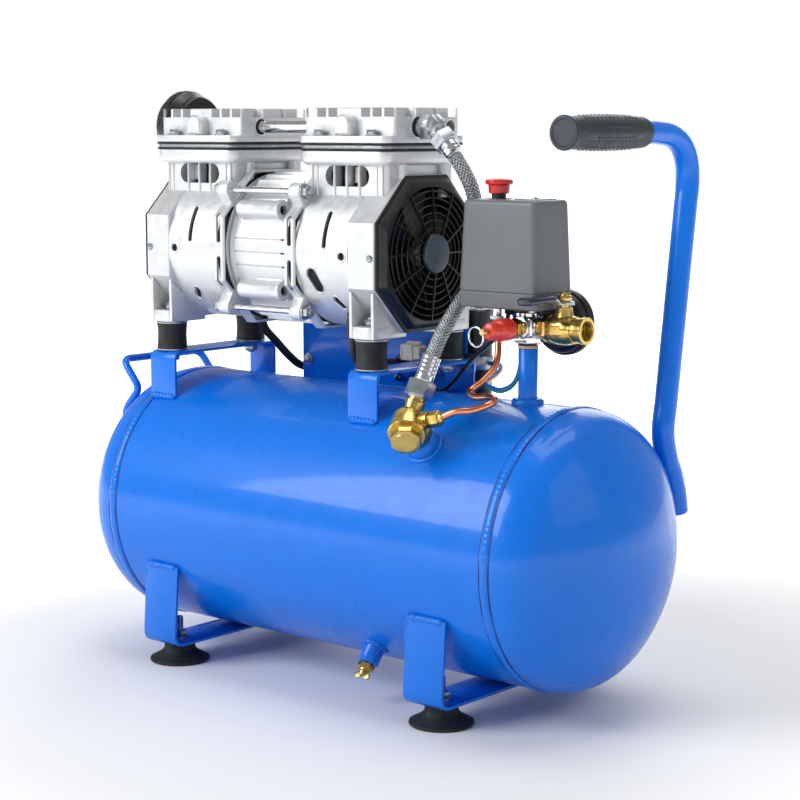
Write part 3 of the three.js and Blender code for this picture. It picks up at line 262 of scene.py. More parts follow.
def rod(radius: float, start: Array, stop: Array, sides: int = 24, edge: float = 0.0) -> Solid:
    """A round bar from point to point."""
    length = float(np.linalg.norm(stop - start))
    rows = [(0, radius), (length, radius)]
    if edge:
        rows = [(0, radius - edge), (edge, radius), (length - edge, radius), (length, radius - edge)]
    return revolve(rows, start, stop - start, sides)


def sweep(outline: Array | Callable[[float], Array], path: Array, loop: bool = False,
          up: Array | None = None) -> Solid:
    """A section carried along a path without twisting: each frame is the one before it, turned least.

    Args:
        outline: the section, or what gives it for a share of the way from 0 to 1.
        path: the points it passes.
        loop: the path closes on itself.
        up: how the first section stands.
    """
    ways = (np.roll(path, -1, 0) - np.roll(path, 1, 0)) if loop else np.gradient(path, axis=0)
    first, second = across(ways[0], up)
    rings = []
    for i, (at, way) in enumerate(zip(path, ways)):
        d = unit(way)
        second = unit(second - d * float(np.dot(second, d)))
        first = np.cross(second, d)
        shape = outline(i / (len(path) - 1)) if callable(outline) else outline
        rings.append(at + shape[:, :1] * first + shape[:, 1:] * second)
    return loft(rings, loop)


def tube(radius: float, path: Array, sides: int = 16, loop: bool = False) -> Solid:
    """A round section carried along a path."""
    return sweep(circle(radius, sides), path, loop)


def hoop(at: Array, direction: Array, radius: float, thick: float, sides: int = 48,
        section: int = 10) -> Solid:
    """A ring of round section about a direction."""
    return tube(thick, ring(circle(radius, sides), at, direction), section, loop=True)


def block(low: Array, high: Array, edge: float = 0.8) -> Solid:
    """A box between two corners with softened edges."""
    mid, size = (low + high) / 2, high - low
    return prism(rounded(size[0], size[1], edge, 3), vec(mid[0], mid[1], low[2]), Z, size[2], Y, edge)


def scene_object(name: str, data: bpy.types.ID) -> bpy.types.Object:
    """A new object in the scene that holds the data."""
    made = bpy.data.objects.new(name, data)
    bpy.context.scene.collection.objects.link(made)
    return made


def as_bmesh(solid: Solid) -> bmesh.types.BMesh:
    """The solid as an editable mesh."""
    mesh = bmesh.new()
    corners = [mesh.verts.new(p) for p in solid.points]
    for face in solid.faces:
        mesh.faces.new([corners[i] for i in face])
    bmesh.ops.remove_doubles(mesh, verts=mesh.verts, dist=1e-5)
    return mesh


def from_bmesh(mesh: bmesh.types.BMesh) -> Solid:
    """The editable mesh as a solid; the mesh is freed."""
    mesh.verts.index_update()
    solid = Solid(np.array([v.co[:] for v in mesh.verts]),
        [tuple(v.index for v in f.verts) for f in mesh.faces])
    mesh.free()
    return solid


def soften(solid: Solid, width: float, degrees: float = 35, segments: int = 2) -> Solid:
    """The solid with each edge sharper than an angle rounded."""
    mesh = as_bmesh(solid)
    sharp = [e for e in mesh.edges if len(e.link_faces) == 2 and e.calc_face_angle() > math.radians(degrees)]
    bmesh.ops.bevel(mesh, geom=sharp, offset=width, segments=segments, affect="EDGES",
                    profile=0.5, clamp_overlap=True)
    return from_bmesh(mesh)


def carve(solid: Solid, cutters: Sequence[Solid], joined: Sequence[Solid] = ()) -> Solid:
    """The solid, with others joined to it, less the cutters."""
    def as_object(part: Solid) -> bpy.types.Object:
        mesh = bpy.data.meshes.new("carving")
        edit = as_bmesh(part)
        edit.to_mesh(mesh)
        edit.free()
        return scene_object("carving", mesh)

    objects = [as_object(solid)]
    for kind, parts in (("UNION", joined), ("DIFFERENCE", cutters)):
        for part in parts:
            objects.append(as_object(part))
            modifier = objects[0].modifiers.new(kind, "BOOLEAN")
            modifier.operation, modifier.solver, modifier.object = kind, "EXACT", objects[-1]
    graph = bpy.context.evaluated_depsgraph_get()
    edit = bmesh.new()
    edit.from_mesh(objects[0].evaluated_get(graph).to_mesh())
    for made in objects:
        mesh = made.data
        bpy.data.objects.remove(made)
        bpy.data.meshes.remove(mesh)
    bmesh.ops.remove_doubles(edit, verts=edit.verts, dist=1e-4)
    bmesh.ops.dissolve_degenerate(edit, edges=edit.edges, dist=1e-4)
    return from_bmesh(edit)


# ---- finishes
class Graph:
    """A node material while it is being built, with its surface shader at hand."""

    def __init__(self, name: str) -> None:
        self.material = bpy.data.materials.new(name)
        self.material.use_nodes = True
        self.tree = self.material.node_tree
        self.tree.nodes.clear()
        self.shader = self.add("ShaderNodeBsdfPrincipled")
        self.tree.links.new(self.shader.outputs[0], self.add("ShaderNodeOutputMaterial").inputs[0])
        self.place = self.add("ShaderNodeTexCoord").outputs["Object"]

    def add(self, kind: str, **settings: object) -> bpy.types.Node:
        """A new node with its settings made."""
        node = self.tree.nodes.new(kind)
        for key, value in settings.items():
            setattr(node, key, value)
        return node

    def feed(self, node: bpy.types.Node, **values: object) -> Socket:
        """Sets or links inputs by name, with _ for a space, and returns the first output."""
        for key, value in values.items():
            socket = node.inputs[int(key[1:])] if key[1:].isdigit() else node.inputs[key.replace("_", " ")]
            if isinstance(value, Socket):
                self.tree.links.new(value, socket)
            else:
                socket.default_value = value
        return node.outputs[0]

    def noise(self, scale: float, detail: float = 3,
            stretch: tuple[float, float, float] = (1, 1, 1)) -> Socket:
        """Noise from 0 to 1 with features of 1/scale metres, stretched by axis."""
        place = self.feed(self.add("ShaderNodeMapping"), Vector=self.place, Scale=stretch)
        return self.feed(self.add("ShaderNodeTexNoise"), Vector=place, Scale=scale, Detail=detail)

    def ranged(self, value: Socket, low: float, high: float, start: float = 0.35,
            end: float = 0.65) -> Socket:
        """A value from start to end turned into one from low to high."""
        return self.feed(self.add("ShaderNodeMapRange"), Value=value, From_Min=start, From_Max=end,
            To_Min=low, To_Max=high)

    def mixed(self, share: Socket, one: object, other: object) -> Socket:
        """A colour between two, by a share."""
        node = self.add("ShaderNodeMix", data_type="RGBA")
        self.feed(node, _0=share, _6=one, _7=other)
        return node.outputs[2]

    def math(self, operation: str, one: object, other: object = 0.0) -> Socket:
        """Two values worked into one."""
        return self.feed(self.add("ShaderNodeMath", operation=operation), _0=one, _1=other)

    def bump(self, height: Socket, strength: float, distance: float) -> Socket:
        """A surface normal from a height; distance is in millimetres."""
        return self.feed(self.add("ShaderNodeBump"), Height=height, Strength=strength,
            Distance=distance / 1000)


def tint(hexadecimal: str) -> tuple[float, float, float, float]:
    """A colour from its six sRGB digits, as the linear values that a shader takes."""
    levels = [int(hexadecimal[i:i + 2], 16) / 255 for i in (0, 2, 4)]
    linear = [v / 12.92 if v <= 0.04045 else ((v + 0.055) / 1.055) ** 2.4 for v in levels]
    return (*linear, 1.0)


@dataclass(frozen=True)
class Coated:
    """Paint, plastic or rubber: a colour with faint mottling, fine grain and an optional clear coat."""

    name: str
    colour: str
    roughness: float
    mottle: float = 0.08
    grain: float = 900.0
    grain_depth: float = 0.02
    coat: float = 0.0
    specular: float = 0.5

    def material(self) -> bpy.types.Material:
        """Builds the material: noise drives shade, roughness and bump."""
        g = Graph(self.name)
        base = tint(self.colour)
        dark = tuple(c * (1 - self.mottle) for c in base[:3]) + (1.0,)
        colour = g.mixed(g.ranged(g.noise(35, 4), 0, 1), dark, base)
        rough = g.ranged(g.noise(90, 4), self.roughness * 0.85, min(1.0, self.roughness * 1.2))
        g.feed(g.shader, Base_Color=colour, Roughness=rough, Specular_IOR_Level=self.specular,
               Coat_Weight=self.coat, Coat_Roughness=0.06,
               Normal=g.bump(g.noise(self.grain, 2), 0.5, self.grain_depth))
        return g.material


@dataclass(frozen=True)
class Metal:
    """Bare or plated metal: a reflecting colour with stains, streaks and a cast or drawn grain."""

    name: str
    colour: str
    roughness: float
    stain: float = 0.12
    grain: float = 700.0
    grain_depth: float = 0.02
    metallic: float = 1.0
    stretch: tuple[float, float, float] = (1, 1, 1)

    def material(self) -> bpy.types.Material:
        """Builds the material: broad noise stains it and fine noise roughens it."""
        g = Graph(self.name)
        base = tint(self.colour)
        dark = tuple(c * (1 - self.stain) for c in base[:3]) + (1.0,)
        colour = g.mixed(g.ranged(g.noise(60, 5), 0, 1), dark, base)
        rough = g.ranged(g.noise(140, 5, self.stretch), self.roughness * 0.8, min(1.0, self.roughness * 1.3))
        g.feed(g.shader, Base_Color=colour, Metallic=self.metallic, Roughness=rough,
               Normal=g.bump(g.noise(self.grain, 3, self.stretch), 0.6, self.grain_depth))
        return g.material


@dataclass(frozen=True)
class Braided:
    """Wire braid: two sets of slanting bands cross, worked from the piece's own (around, along)."""

    name: str
    colour: str
    around: float
    pitch: float

    def material(self) -> bpy.types.Material:
        """Builds the material: height is the higher of two slanted sine waves, dark where both are low."""
        g = Graph(self.name)
        wrap = g.add("ShaderNodeUVMap", uv_map="wrap").outputs[0]
        parts = g.add("ShaderNodeSeparateXYZ")
        g.feed(parts, _0=wrap)
        turn = g.math("MULTIPLY", parts.outputs[0], self.around * 2 * math.pi)
        run = g.math("MULTIPLY", parts.outputs[1], 2 * math.pi / self.pitch)
        one = g.math("SINE", g.math("ADD", turn, run))
        other = g.math("SINE", g.math("SUBTRACT", turn, run))
        height = g.math("MAXIMUM", one, other)
        light = tint(self.colour)
        dark = tuple(c * 0.25 for c in light[:3]) + (1.0,)
        colour = g.mixed(g.ranged(height, 0, 1, 0.1, 0.9), dark, light)
        g.feed(g.shader, Base_Color=colour, Metallic=0.75, Roughness=0.34, Normal=g.bump(height, 0.8, 0.35))
        return g.material


@dataclass(frozen=True)
class Clear:
    """A clear plastic lens with faint haze."""

    name: str
    roughness: float = 0.02

    def material(self) -> bpy.types.Material:
        """Builds the material: light passes, with noise in the roughness."""
        g = Graph(self.name)
        g.feed(g.shader, Base_Color=(1, 1, 1, 1), Transmission_Weight=1.0, IOR=1.3,
               Roughness=g.ranged(g.noise(80, 3), self.roughness, self.roughness * 3))
        return g.material


class Finish(Enum):
    """Every finish on the compressor."""

    ENAMEL = Coated("tank enamel", "0070DE", 0.3, 0.06, 420, 0.012, 0.3, 0.22)
    # Painted shadow: a dark blue enamel band on the shell beside each seam bead, standing in for the bead's
    # shade.
    SEAM_SHADOW = Coated("tank enamel in the weld line", "06257E", 0.45, 0.3, 500, 0.05)
    CAST = Metal("painted cast aluminium", "D2D4D6", 0.4, 0.05, 1500, 0.012, 0.55)
    MACHINED = Metal("machined aluminium", "DADCDD", 0.3, 0.08, 1200, 0.01, 0.8)
    # Painted shade: near-black sheets and discs set inside castings, bores, vents, grooves and screw slots,
    # where there is only shade.
    SHADE_IN_HOLLOWS = Coated("shadow inside the castings", "0B0B0C", 0.85)
    BLACK = Coated("black moulded plastic", "111316", 0.36, 0.15, 1600, 0.012)
    HUB = Coated("blue-grey plastic", "4C5A6B", 0.42, 0.1, 1400, 0.01)
    RUBBER = Coated("rubber", "15171A", 0.62, 0.2, 1100, 0.03)
    GRIP = Coated("rubber grip", "2A323B", 0.5, 0.12, 1300, 0.025)
    GASKET = Coated("gasket", "101113", 0.7)
    STEEL = Metal("valve plate steel", "9DA1A5", 0.42, 0.15, 500, 0.02)
    ZINC = Metal("zinc plate", "B4BAC0", 0.3, 0.14, 380, 0.012)
    CHROME = Metal("nickel plate", "D6D8DA", 0.14, 0.08, 250, 0.008)
    BRASS = Metal("brass", "D6B86C", 0.24, 0.14, 420, 0.012)
    COPPER = Metal("copper", "E6906E", 0.2, 0.14, 350, 0.012)
    BRAID = Braided("wire braid", "C2C6CA", 12, 4.4)
    RED = Coated("red plastic", "CC1410", 0.3, 0.06, 900, 0.008, 0.3)
    RED_BRIGHT = Coated("red lacquered cap", "DD3322", 0.28, 0.06, 900, 0.008, 0.4)
    GREY = Coated("grey switch base", "5E6264", 0.45, 0.06, 1500, 0.012)
    COVER = Coated("switch cover", "64686A", 0.4, 0.06, 1500, 0.012)
    SHEATH = Coated("cable sheath", "141518", 0.5, 0.1)
    NYLON = Coated("nylon connector", "E9E2CC", 0.45, 0.06)
    WHITE = Coated("dial and white cord", "F2F2EE", 0.5, 0.04)
    PRINT = Coated("dial print", "16181C", 0.5)
    BLUE_WIRE = Coated("blue wire", "2F66C8", 0.42)
    GREEN_WIRE = Coated("green wire", "13907A", 0.42)
    YELLOW_WIRE = Coated("yellow wire", "D9C33A", 0.42)
    TAPE = Coated("thread tape", "C8A878", 0.6, 0.2)
    THREAD = Metal("brown thread", "6B5642", 0.5, 0.3)
    SLEEVE = Coated("dark blue vinyl sleeve", "141B33", 0.3, 0.1, 900, 0.01, 0.3)
    LENS = Clear("gauge lens")


@cache
def material_of(finish: Finish) -> bpy.types.Material:
    """The finish's material, built once."""
    return finish.value.material()


# ---- pieces
@dataclass(frozen=True)
class Extent:
    """Where CAD nodes are at rest, in millimetres."""

    low: Array
    high: Array

    @classmethod
    def of(cls, *nodes: str) -> "Extent":
        """The extent of one or more nodes together."""
        corners = np.array([np.array(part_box(n)) for n in nodes]) * 1000
        return cls(corners[:, 0].min(0), corners[:, 1].max(0))

    @property
    def mid(self) -> Array:
        """The middle."""
        return (self.low + self.high) / 2

    @property
    def size(self) -> Array:
        """The length by axis."""
        return self.high - self.low


@dataclass
class Form:
    """One piece of the object: solids, each with a finish, gathered until it is written."""

    name: str
    parts: list[tuple[Solid, Finish]] = field(default_factory=list)

    def add(self, finish: Finish, *solids: Solid) -> "Form":
        """Adds solids in a finish."""
        self.parts.extend((s, finish) for s in solids)
        return self

    def bolt(self, at: Array, way: Array, flats: float, height: float, washer: float = 0.0,
             thread: float = 0.0) -> "Form":
        """A hex bolt head or nut, with a washer under it and a thread end past it if wanted."""
        d = unit(way)
        base = at
        if washer:
            self.add(Finish.ZINC, revolve([(0, washer), (1.1, washer), (1.4, washer - 0.3),
                (1.4, 0)], at, d, 28))
            base = at + d * 1.2
        self.add(Finish.ZINC, hexagon(flats, base, d, height, 0.12 * height, 0.18 * height))
        if thread:
            r = flats * 0.27
            rows = [(0, r)]
            for i in range(int(thread / 0.9)):
                rows += [(0.9 * i + 0.25, r), (0.9 * i + 0.6, r * 0.88)]
            self.add(Finish.ZINC, revolve([*rows, (thread, r * 0.8), (thread, 0)],
                base + d * height * 0.9, d, 16))
        return self

    def ribbed(self, finish: Finish, at: Array, way: Array, count: int, radius: float, thick: float,
               reach: tuple[float, float]) -> None:
        """Adds fine ribs evenly round a cylinder, between two distances along it."""
        for out in spokes(count, Y if way[0] else X, Y if way[2] else Z):
            start, stop = (at + way * r + out * radius for r in reach)
            self.add(finish, rod(thick, start, stop, 8))

    def cord(self, path: Array, radius: float, node: str, slot: str,
            stiffness: str = "medium") -> bpy.types.Object:
        """Writes the mesh as a piece on the frame body, in place of a CAD node."""
        made = self.piece("frame", node, slot=slot, crease=40)
        return made

    def piece(self, body: str, *nodes: str, slot: str | None = None, crease: float = 34) -> bpy.types.Object:
        """Writes the mesh, in metres, and hands it to its body.

        Args:
            body: the CAD body it rides on.
            nodes: the CAD nodes it stands for.
            slot: not used.
            crease: edges sharper than this many degrees stay sharp.

        Returns:
            The new object.
        """
        finishes = list(dict.fromkeys(f for _, f in self.parts))
        points = np.concatenate([s.points for s, _ in self.parts]) / 1000
        faces, indices, wraps, count = [], [], [], 0
        for solid, finish in self.parts:
            faces.extend(tuple(i + count for i in f) for f in solid.faces)
            indices.extend([finishes.index(finish)] * len(solid.faces))
            wrap = solid.wrap or [[(0.0, 0.0)] * len(f) for f in solid.faces]
            wraps.extend(c for corners in wrap for c in corners)
            count += len(solid.points)
        mesh = bpy.data.meshes.new(self.name)
        mesh.from_pydata(points.tolist(), [], faces)
        for finish in finishes:
            mesh.materials.append(material_of(finish))
        mesh.polygons.foreach_set("material_index", np.array(indices, np.int32))
        mesh.polygons.foreach_set("use_smooth", np.ones(len(faces), bool))
        mesh.uv_layers.new(name="wrap").data.foreach_set("uv", np.array(wraps, np.float32).ravel())
        mesh.set_sharp_from_angle(angle=math.radians(crease))
        mesh.update()
        made = scene_object(self.name, mesh)
        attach(made, body)
        if nodes:
            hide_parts(*nodes)
        log.info("%s: %d faces on %s", self.name, len(faces), body)
        return made


# ---- studio
@dataclass
class Studio:
    """A plain pale floor, soft lights and the camera."""

    eye: tuple[float, float, float] = (1.2597, -1.4595, 0.5358)
    target: tuple[float, float, float] = (0.0338, -0.0062, 0.27335)
    lens: float = 89.36
    surround_level: float = 0.36
    floor_size: float = 12.0

    def aim(self, name: str, data: bpy.types.ID, place: Sequence[float],
            target: Sequence[float]) -> bpy.types.Object:
        """Places a camera or a light so that it faces a target."""
        made = scene_object(name, data)
        made.location = place
        made.rotation_euler = (Vector(target) - Vector(place)).to_track_quat("-Z", "Y").to_euler()
        return made

    def light(self, name: str, place: tuple[float, float, float], size: float, power: float) -> None:
        """Adds a square area light that faces the object's middle."""
        data = bpy.data.lights.new(name, "AREA")
        data.shape, data.size, data.energy = "SQUARE", size, power
        self.aim(name, data, place, (0, 0, 0.3))

    def surround(self) -> None:
        """Makes the surround white to the camera and dimmer as a light."""
        world = bpy.data.worlds.new("surround")
        world.use_nodes = True
        bpy.context.scene.world = world
        nodes, links = world.node_tree.nodes, world.node_tree.links
        background = nodes["Background"]
        background.inputs["Color"].default_value = (1.0, 1.0, 1.0, 1.0)
        level = nodes.new("ShaderNodeMapRange")
        level.inputs["To Min"].default_value = self.surround_level
        level.inputs["To Max"].default_value = 1.0
        links.new(nodes.new("ShaderNodeLightPath").outputs["Is Camera Ray"], level.inputs["Value"])
        links.new(level.outputs[0], background.inputs["Strength"])

    def floor(self) -> None:
        """Builds a pale floor that brightens away from the object, so that it has no edge."""
        size = self.floor_size
        mesh = bpy.data.meshes.new("floor")
        mesh.from_pydata([(-size, -size, 0), (size, -size, 0), (size, size, 0), (-size, size, 0)],
            [], [(0, 1, 2, 3)])
        g = Graph("pale floor")
        distance = g.add("ShaderNodeVectorMath", operation="LENGTH")
        g.feed(distance, _0=g.place)
        glow = g.ranged(distance.outputs["Value"], 0, 1.1, 0.42, 1.7)
        g.feed(g.shader, Base_Color=g.mixed(g.noise(3, 2), (0.86, 0.86, 0.86, 1), (0.88, 0.88, 0.88, 1)),
               Roughness=0.7, Emission_Color=(1, 1, 1, 1), Emission_Strength=glow)
        mesh.materials.append(g.material)
        floor = scene_object("floor", mesh)

    def build(self) -> None:
        """Builds the camera, the lights, the bright surround and the floor."""
        data = bpy.data.cameras.new("camera")
        data.lens, data.sensor_width, data.clip_start = self.lens, 36.0, 0.05
        bpy.context.scene.camera = self.aim("camera", data, self.eye, self.target)
        self.light("key", (-1.3, -2.3, 1.7), 1.7, 62)
        self.light("fill", (2.6, 0.2, 1.5), 1.5, 6)
        self.light("top", (0.1, 0.4, 2.6), 1.6, 26)
        self.light("back", (-1.2, 2.3, 1.4), 1.6, 20)
        bpy.context.scene.view_settings.view_transform = "Standard"
        self.surround()
        self.floor()


# ---- welds
def lengths(path: Array) -> Array:
    """How far along a path each of its points is."""
    return np.concatenate([[0.0], np.cumsum(np.linalg.norm(np.diff(path, axis=0), axis=1))])


def respaced(path: Array, count: int, whole: bool = True) -> Array:
    """Evenly spaced points along a path; when it isn't whole, its last point is left off."""
    run = lengths(path)
    even = np.linspace(0, run[-1], count, endpoint=whole)
    return np.stack([np.interp(even, run, path[:, i]) for i in range(3)], 1)


def weld(path: Sequence[Array], width: float, height: float, up: Array, loop: bool = False,
        pitch: float = 4.5) -> Solid:
    """A weld bead along a path: a flat oval whose height rises and falls once a ripple.

    Args:
        path: the line on the surface under the bead.
        width: the bead's width.
        height: how far it stands out.
        up: the surface's outward direction at the path's start.
        loop: the path closes on itself.
        pitch: the length of a ripple.
    """
    path = np.array(path)
    long = lengths(path)[-1]
    count = max(8, int(long / pitch * 4))
    fine = respaced(path, count + (not loop), not loop)

    def outline(t: float) -> Array:
        wander = math.sin(t * long * 0.21) * 0.06 + math.sin(t * long * 0.083 + 1) * 0.08
        ripple = abs(math.sin(math.pi * t * long / pitch))
        taper = 1.0 if loop else min(1.0, 0.3 + 8 * min(t, 1 - t))
        shape = circle(1.0, 10) * [width / 2 * (1 + wander), height * (0.72 + 0.3 * ripple + wander)]
        return shape * taper

    return sweep(outline, fine, loop, up)


# ---- tank and what is welded to it
@dataclass
class Tank:
    """The blue tank: shell, dished ends, bosses, riser and their welds.

    A boss is at an x and at an angle, in degrees, forward of straight up.
    """

    ends: Extent = field(default_factory=lambda: Extent.of("dome_left", "dome_right"))
    shell: Extent = field(default_factory=lambda: Extent.of("tank_shell"))
    radius: float = 130.0
    flange: float = 3.7
    knuckle: float = 49.0
    crown: float = 180.0
    riser_x: float = 187.0
    check_at: tuple[float, float] = (138.0, 43.0)
    drain_at: tuple[float, float] = (71.0, 142.0)

    @property
    def axis(self) -> Array:
        """The middle of the tank's axis."""
        return self.ends.mid

    @property
    def seam(self) -> float:
        """How far each seam is from the middle."""
        return self.shell.size[0] / 2 + 0.15

    def around(self, x: float, radius: float, degrees: float) -> Array:
        """A point at a radius from the axis, an angle forward of straight up."""
        a = math.radians(degrees)
        return vec(x, self.axis[1] - radius * math.sin(a), self.axis[2] + radius * math.cos(a))

    def outward(self, x: float, degrees: float) -> Array:
        """The direction square to the shell at an angle forward of straight up."""
        return unit(self.around(x, 1, degrees) - self.around(x, 0, degrees))

    def dome(self) -> list[tuple[float, float]]:
        """The dished end's outline past the seam: a flange, a knuckle arc and a crown arc, at a tangent."""
        rim = self.radius - self.knuckle
        tangent = math.asin(rim / (self.crown - self.knuckle))
        centre = self.flange - (self.crown - self.knuckle) * math.cos(tangent)
        rows = [(0.0, self.radius)]
        for a in np.linspace(0, math.pi / 2 - tangent, 14):
            rows.append((self.flange + self.knuckle * math.sin(a), rim + self.knuckle * math.cos(a)))
        for a in np.linspace(tangent, 0, 16)[1:]:
            rows.append((centre + self.crown * math.cos(a), self.crown * math.sin(a)))
        return rows

    def build(self) -> None:
        """Builds the shell and both ends."""
        self.build_shell()
        *rows, tip = self.dome()
        for side, way in (("left", -1), ("right", 1)):
            form = Form(f"dome_{side}_skin")
            profile = [(-0.5, 0), (-0.5, self.radius - 2), *rows, (tip[0], 0)]
            form.add(Finish.ENAMEL, revolve(profile, self.axis + X * way * self.seam, X * way, 144))
            form.piece("frame", f"dome_{side}", slot="tank_blue", crease=60)

    def build_shell(self) -> None:
        """Builds the rolled shell, the seam beads with a painted shadow band beside each, the riser and the
        two bosses.
        """
        form = Form("tank_skin")
        start = self.axis - X * self.seam
        length = 2 * self.seam
        form.add(Finish.ENAMEL, disc(self.radius, length, start, X, 144))
        for way in (-1, 1):
            at = self.axis + X * way * self.seam
            line = ring(circle(self.radius, 200), at, X)
            bead = weld(np.vstack([line, line[:1]]), 9.5, 1.7, unit(line[0] - at), loop=True, pitch=5.2)
            form.add(Finish.ENAMEL, bead)
            r = self.radius
            # Painted shadow beside the bead: a darker enamel ring a little wider than the bead.
            seam_shadow_band = [(-6.4, r - 1), (-5.6, r + 0.35), (5.6, r + 0.35), (6.4, r - 1)]
            form.add(Finish.SEAM_SHADOW, revolve(seam_shadow_band, at, X, 144))
        self.riser(form)
        self.boss(form, *self.check_at, 15, 13)
        self.boss(form, *self.drain_at, 10, 18)
        form.piece("frame", "tank_shell", slot="tank_blue", crease=50)

    def riser(self, form: Form) -> None:
        """Adds the upright pipe that the controls stand on, with its welded collar."""
        foot = self.around(self.riser_x, self.radius - 3, 0)
        top = self.shell.high[2]
        tall = top - foot[2]
        rows = [(0, 15), (5.5, 15), (7.5, 13.6), (8, 12), (8, 9), (tall - 0.6, 9), (tall, 8.4), (tall, 0)]
        form.add(Finish.ENAMEL, revolve(rows, foot, Z, 36),
            weld(self.girdle(self.riser_x, 0, 16.2), 6, 2.2, -Y, loop=True, pitch=4))

    def girdle(self, x: float, degrees: float, radius: float) -> Array:
        """The line where an upright collar of a radius meets the shell."""
        a = 2 * math.pi * np.arange(61) / 60
        dx, dy = radius * np.cos(a), radius * np.sin(a)
        lean = np.degrees(np.arcsin(dy / self.radius))
        return np.array([self.around(x + float(u), self.radius, degrees + float(v))
            for u, v in zip(dx, lean)])

    def boss(self, form: Form, x: float, degrees: float, radius: float, height: float) -> None:
        """Adds a welded boss that stands square to the shell."""
        foot = self.around(x, self.radius - 3, degrees)
        way = self.outward(x, degrees)
        tall = height + 3
        rows = [(0, radius), (tall - 1, radius), (tall, radius - 1), (tall, radius * 0.55)]
        form.add(Finish.ENAMEL, revolve([*rows, (tall - 3, radius * 0.5), (tall - 3, 0)], foot, way, 36))
        line = self.girdle(x, degrees, radius + 1)
        form.add(Finish.ENAMEL, weld(line, 5.5, 2.4, unit(line[0] - (foot + way * 3)), loop=True, pitch=4))


@dataclass
class OnTank:
    """A sub-assembly whose places are worked out from the tank."""

    tank: Tank

    def place(self, x: float, y: float, z: float) -> Array:
        """A place whose y is from the tank's middle plane."""
        return vec(x, y + self.tank.axis[1], z)

    def places(self, *points: tuple[float, float, float]) -> list[Array]:
        """Several such places."""
        return [self.place(*p) for p in points]

    def path(self, *points: tuple[float, float, float]) -> Array:
        """A smooth line through such places."""
        return curve(self.places(*points), 10)


def strip(points: Profile, bend: float, sheet: float, x0: float, x1: float) -> Solid:
    """A bent sheet strip: a centre line in Y and Z given a thickness and carried along X."""
    line = bent([vec(0, y, z) for y, z in points], bend, 6)[:, 1:]
    way = np.gradient(line, axis=0)
    way /= np.linalg.norm(way, axis=1, keepdims=True)
    side = np.stack([-way[:, 1], way[:, 0]], 1) * sheet / 2
    outline = np.concatenate([line + side, (line - side)[::-1]])
    return prism(outline, vec(x0, 0, 0), X, x1 - x0, Z, 0.6)


@dataclass
class Legs(OnTank):
    """The two leg straps under the tank and their four rubber feet."""

    sheet: float = 3.0

    def build(self) -> None:
        """Builds both straps and the feet."""
        for side in ("left", "right"):
            e = Extent.of(f"leg_strap_{side}")
            mid, half = self.tank.axis[1], (e.size[1] - self.sheet) / 2
            plate = e.low[2] + self.sheet / 2
            top = e.high[2] - 0.2
            points = [(mid + half - 5.7, top), (mid + half, plate), (mid - half, plate),
                (mid - half + 5.7, top)]
            form = Form(f"leg_{side}_strap").add(Finish.ENAMEL,
                strip(points, 12, self.sheet, e.low[0], e.high[0]))
            for way in (-1, 1):
                y = mid + way * (half - 5.2)
                over = [vec(x, y, top - 1) for x in np.linspace(e.low[0] + 2, e.high[0] - 2, 12)]
                down = [vec(e.low[0] - 0.5, mid + way * (half - 5.2 + t * 0.3), top - 4 - 22 * t)
                    for t in np.linspace(0, 1, 6)]
                form.add(Finish.ENAMEL, weld(over, 6, 3, vec(0, way, 0.4)),
                    weld(down, 4, 2, vec(-1, 0, 0)))
            form.piece("frame", f"leg_strap_{side}", slot="tank_blue")
            for end in ("front", "rear"):
                self.foot(side, end)

    def foot(self, side: str, end: str) -> None:
        """Builds a suction-cup foot, its threaded stud, washer and nut."""
        e = Extent.of(f"foot_{side}_{end}")
        at = vec(e.mid[0], e.mid[1], 0)
        plate = Extent.of(f"leg_strap_{side}").low[2]
        cup = [(3, 0), (3, 18), (0.4, 24), (0, 26.5), (0.5, 29.4), (1.6, 30), (3.2, 29.6), (5, 26),
            (7.6, 21.5), (10, 18), (12.4, 16.1), (14.5, 15.5), (plate - 1.2, 15.5), (plate - 0.3, 14.6),
            (plate - 0.3, 0)]
        form = Form(f"foot_{side}_{end}_cup").add(Finish.RUBBER, revolve(cup, at, Z, 56))
        thread = [(plate - 2, 0), (plate - 2, 3.6)]
        for z in np.arange(plate - 1, e.high[2] - 1, 1.2):
            thread += [(z, 3.9), (z + 0.6, 3.35)]
        form.add(Finish.ZINC, revolve([*thread, (e.high[2] - 0.6, 3.3), (e.high[2], 2.8),
            (e.high[2], 0)], at, Z, 20))
        form.bolt(at + Z * (plate + 3.25), Z, 13, 6.2, 9)
        form.piece("frame", f"foot_{side}_{end}", slot="rubber")


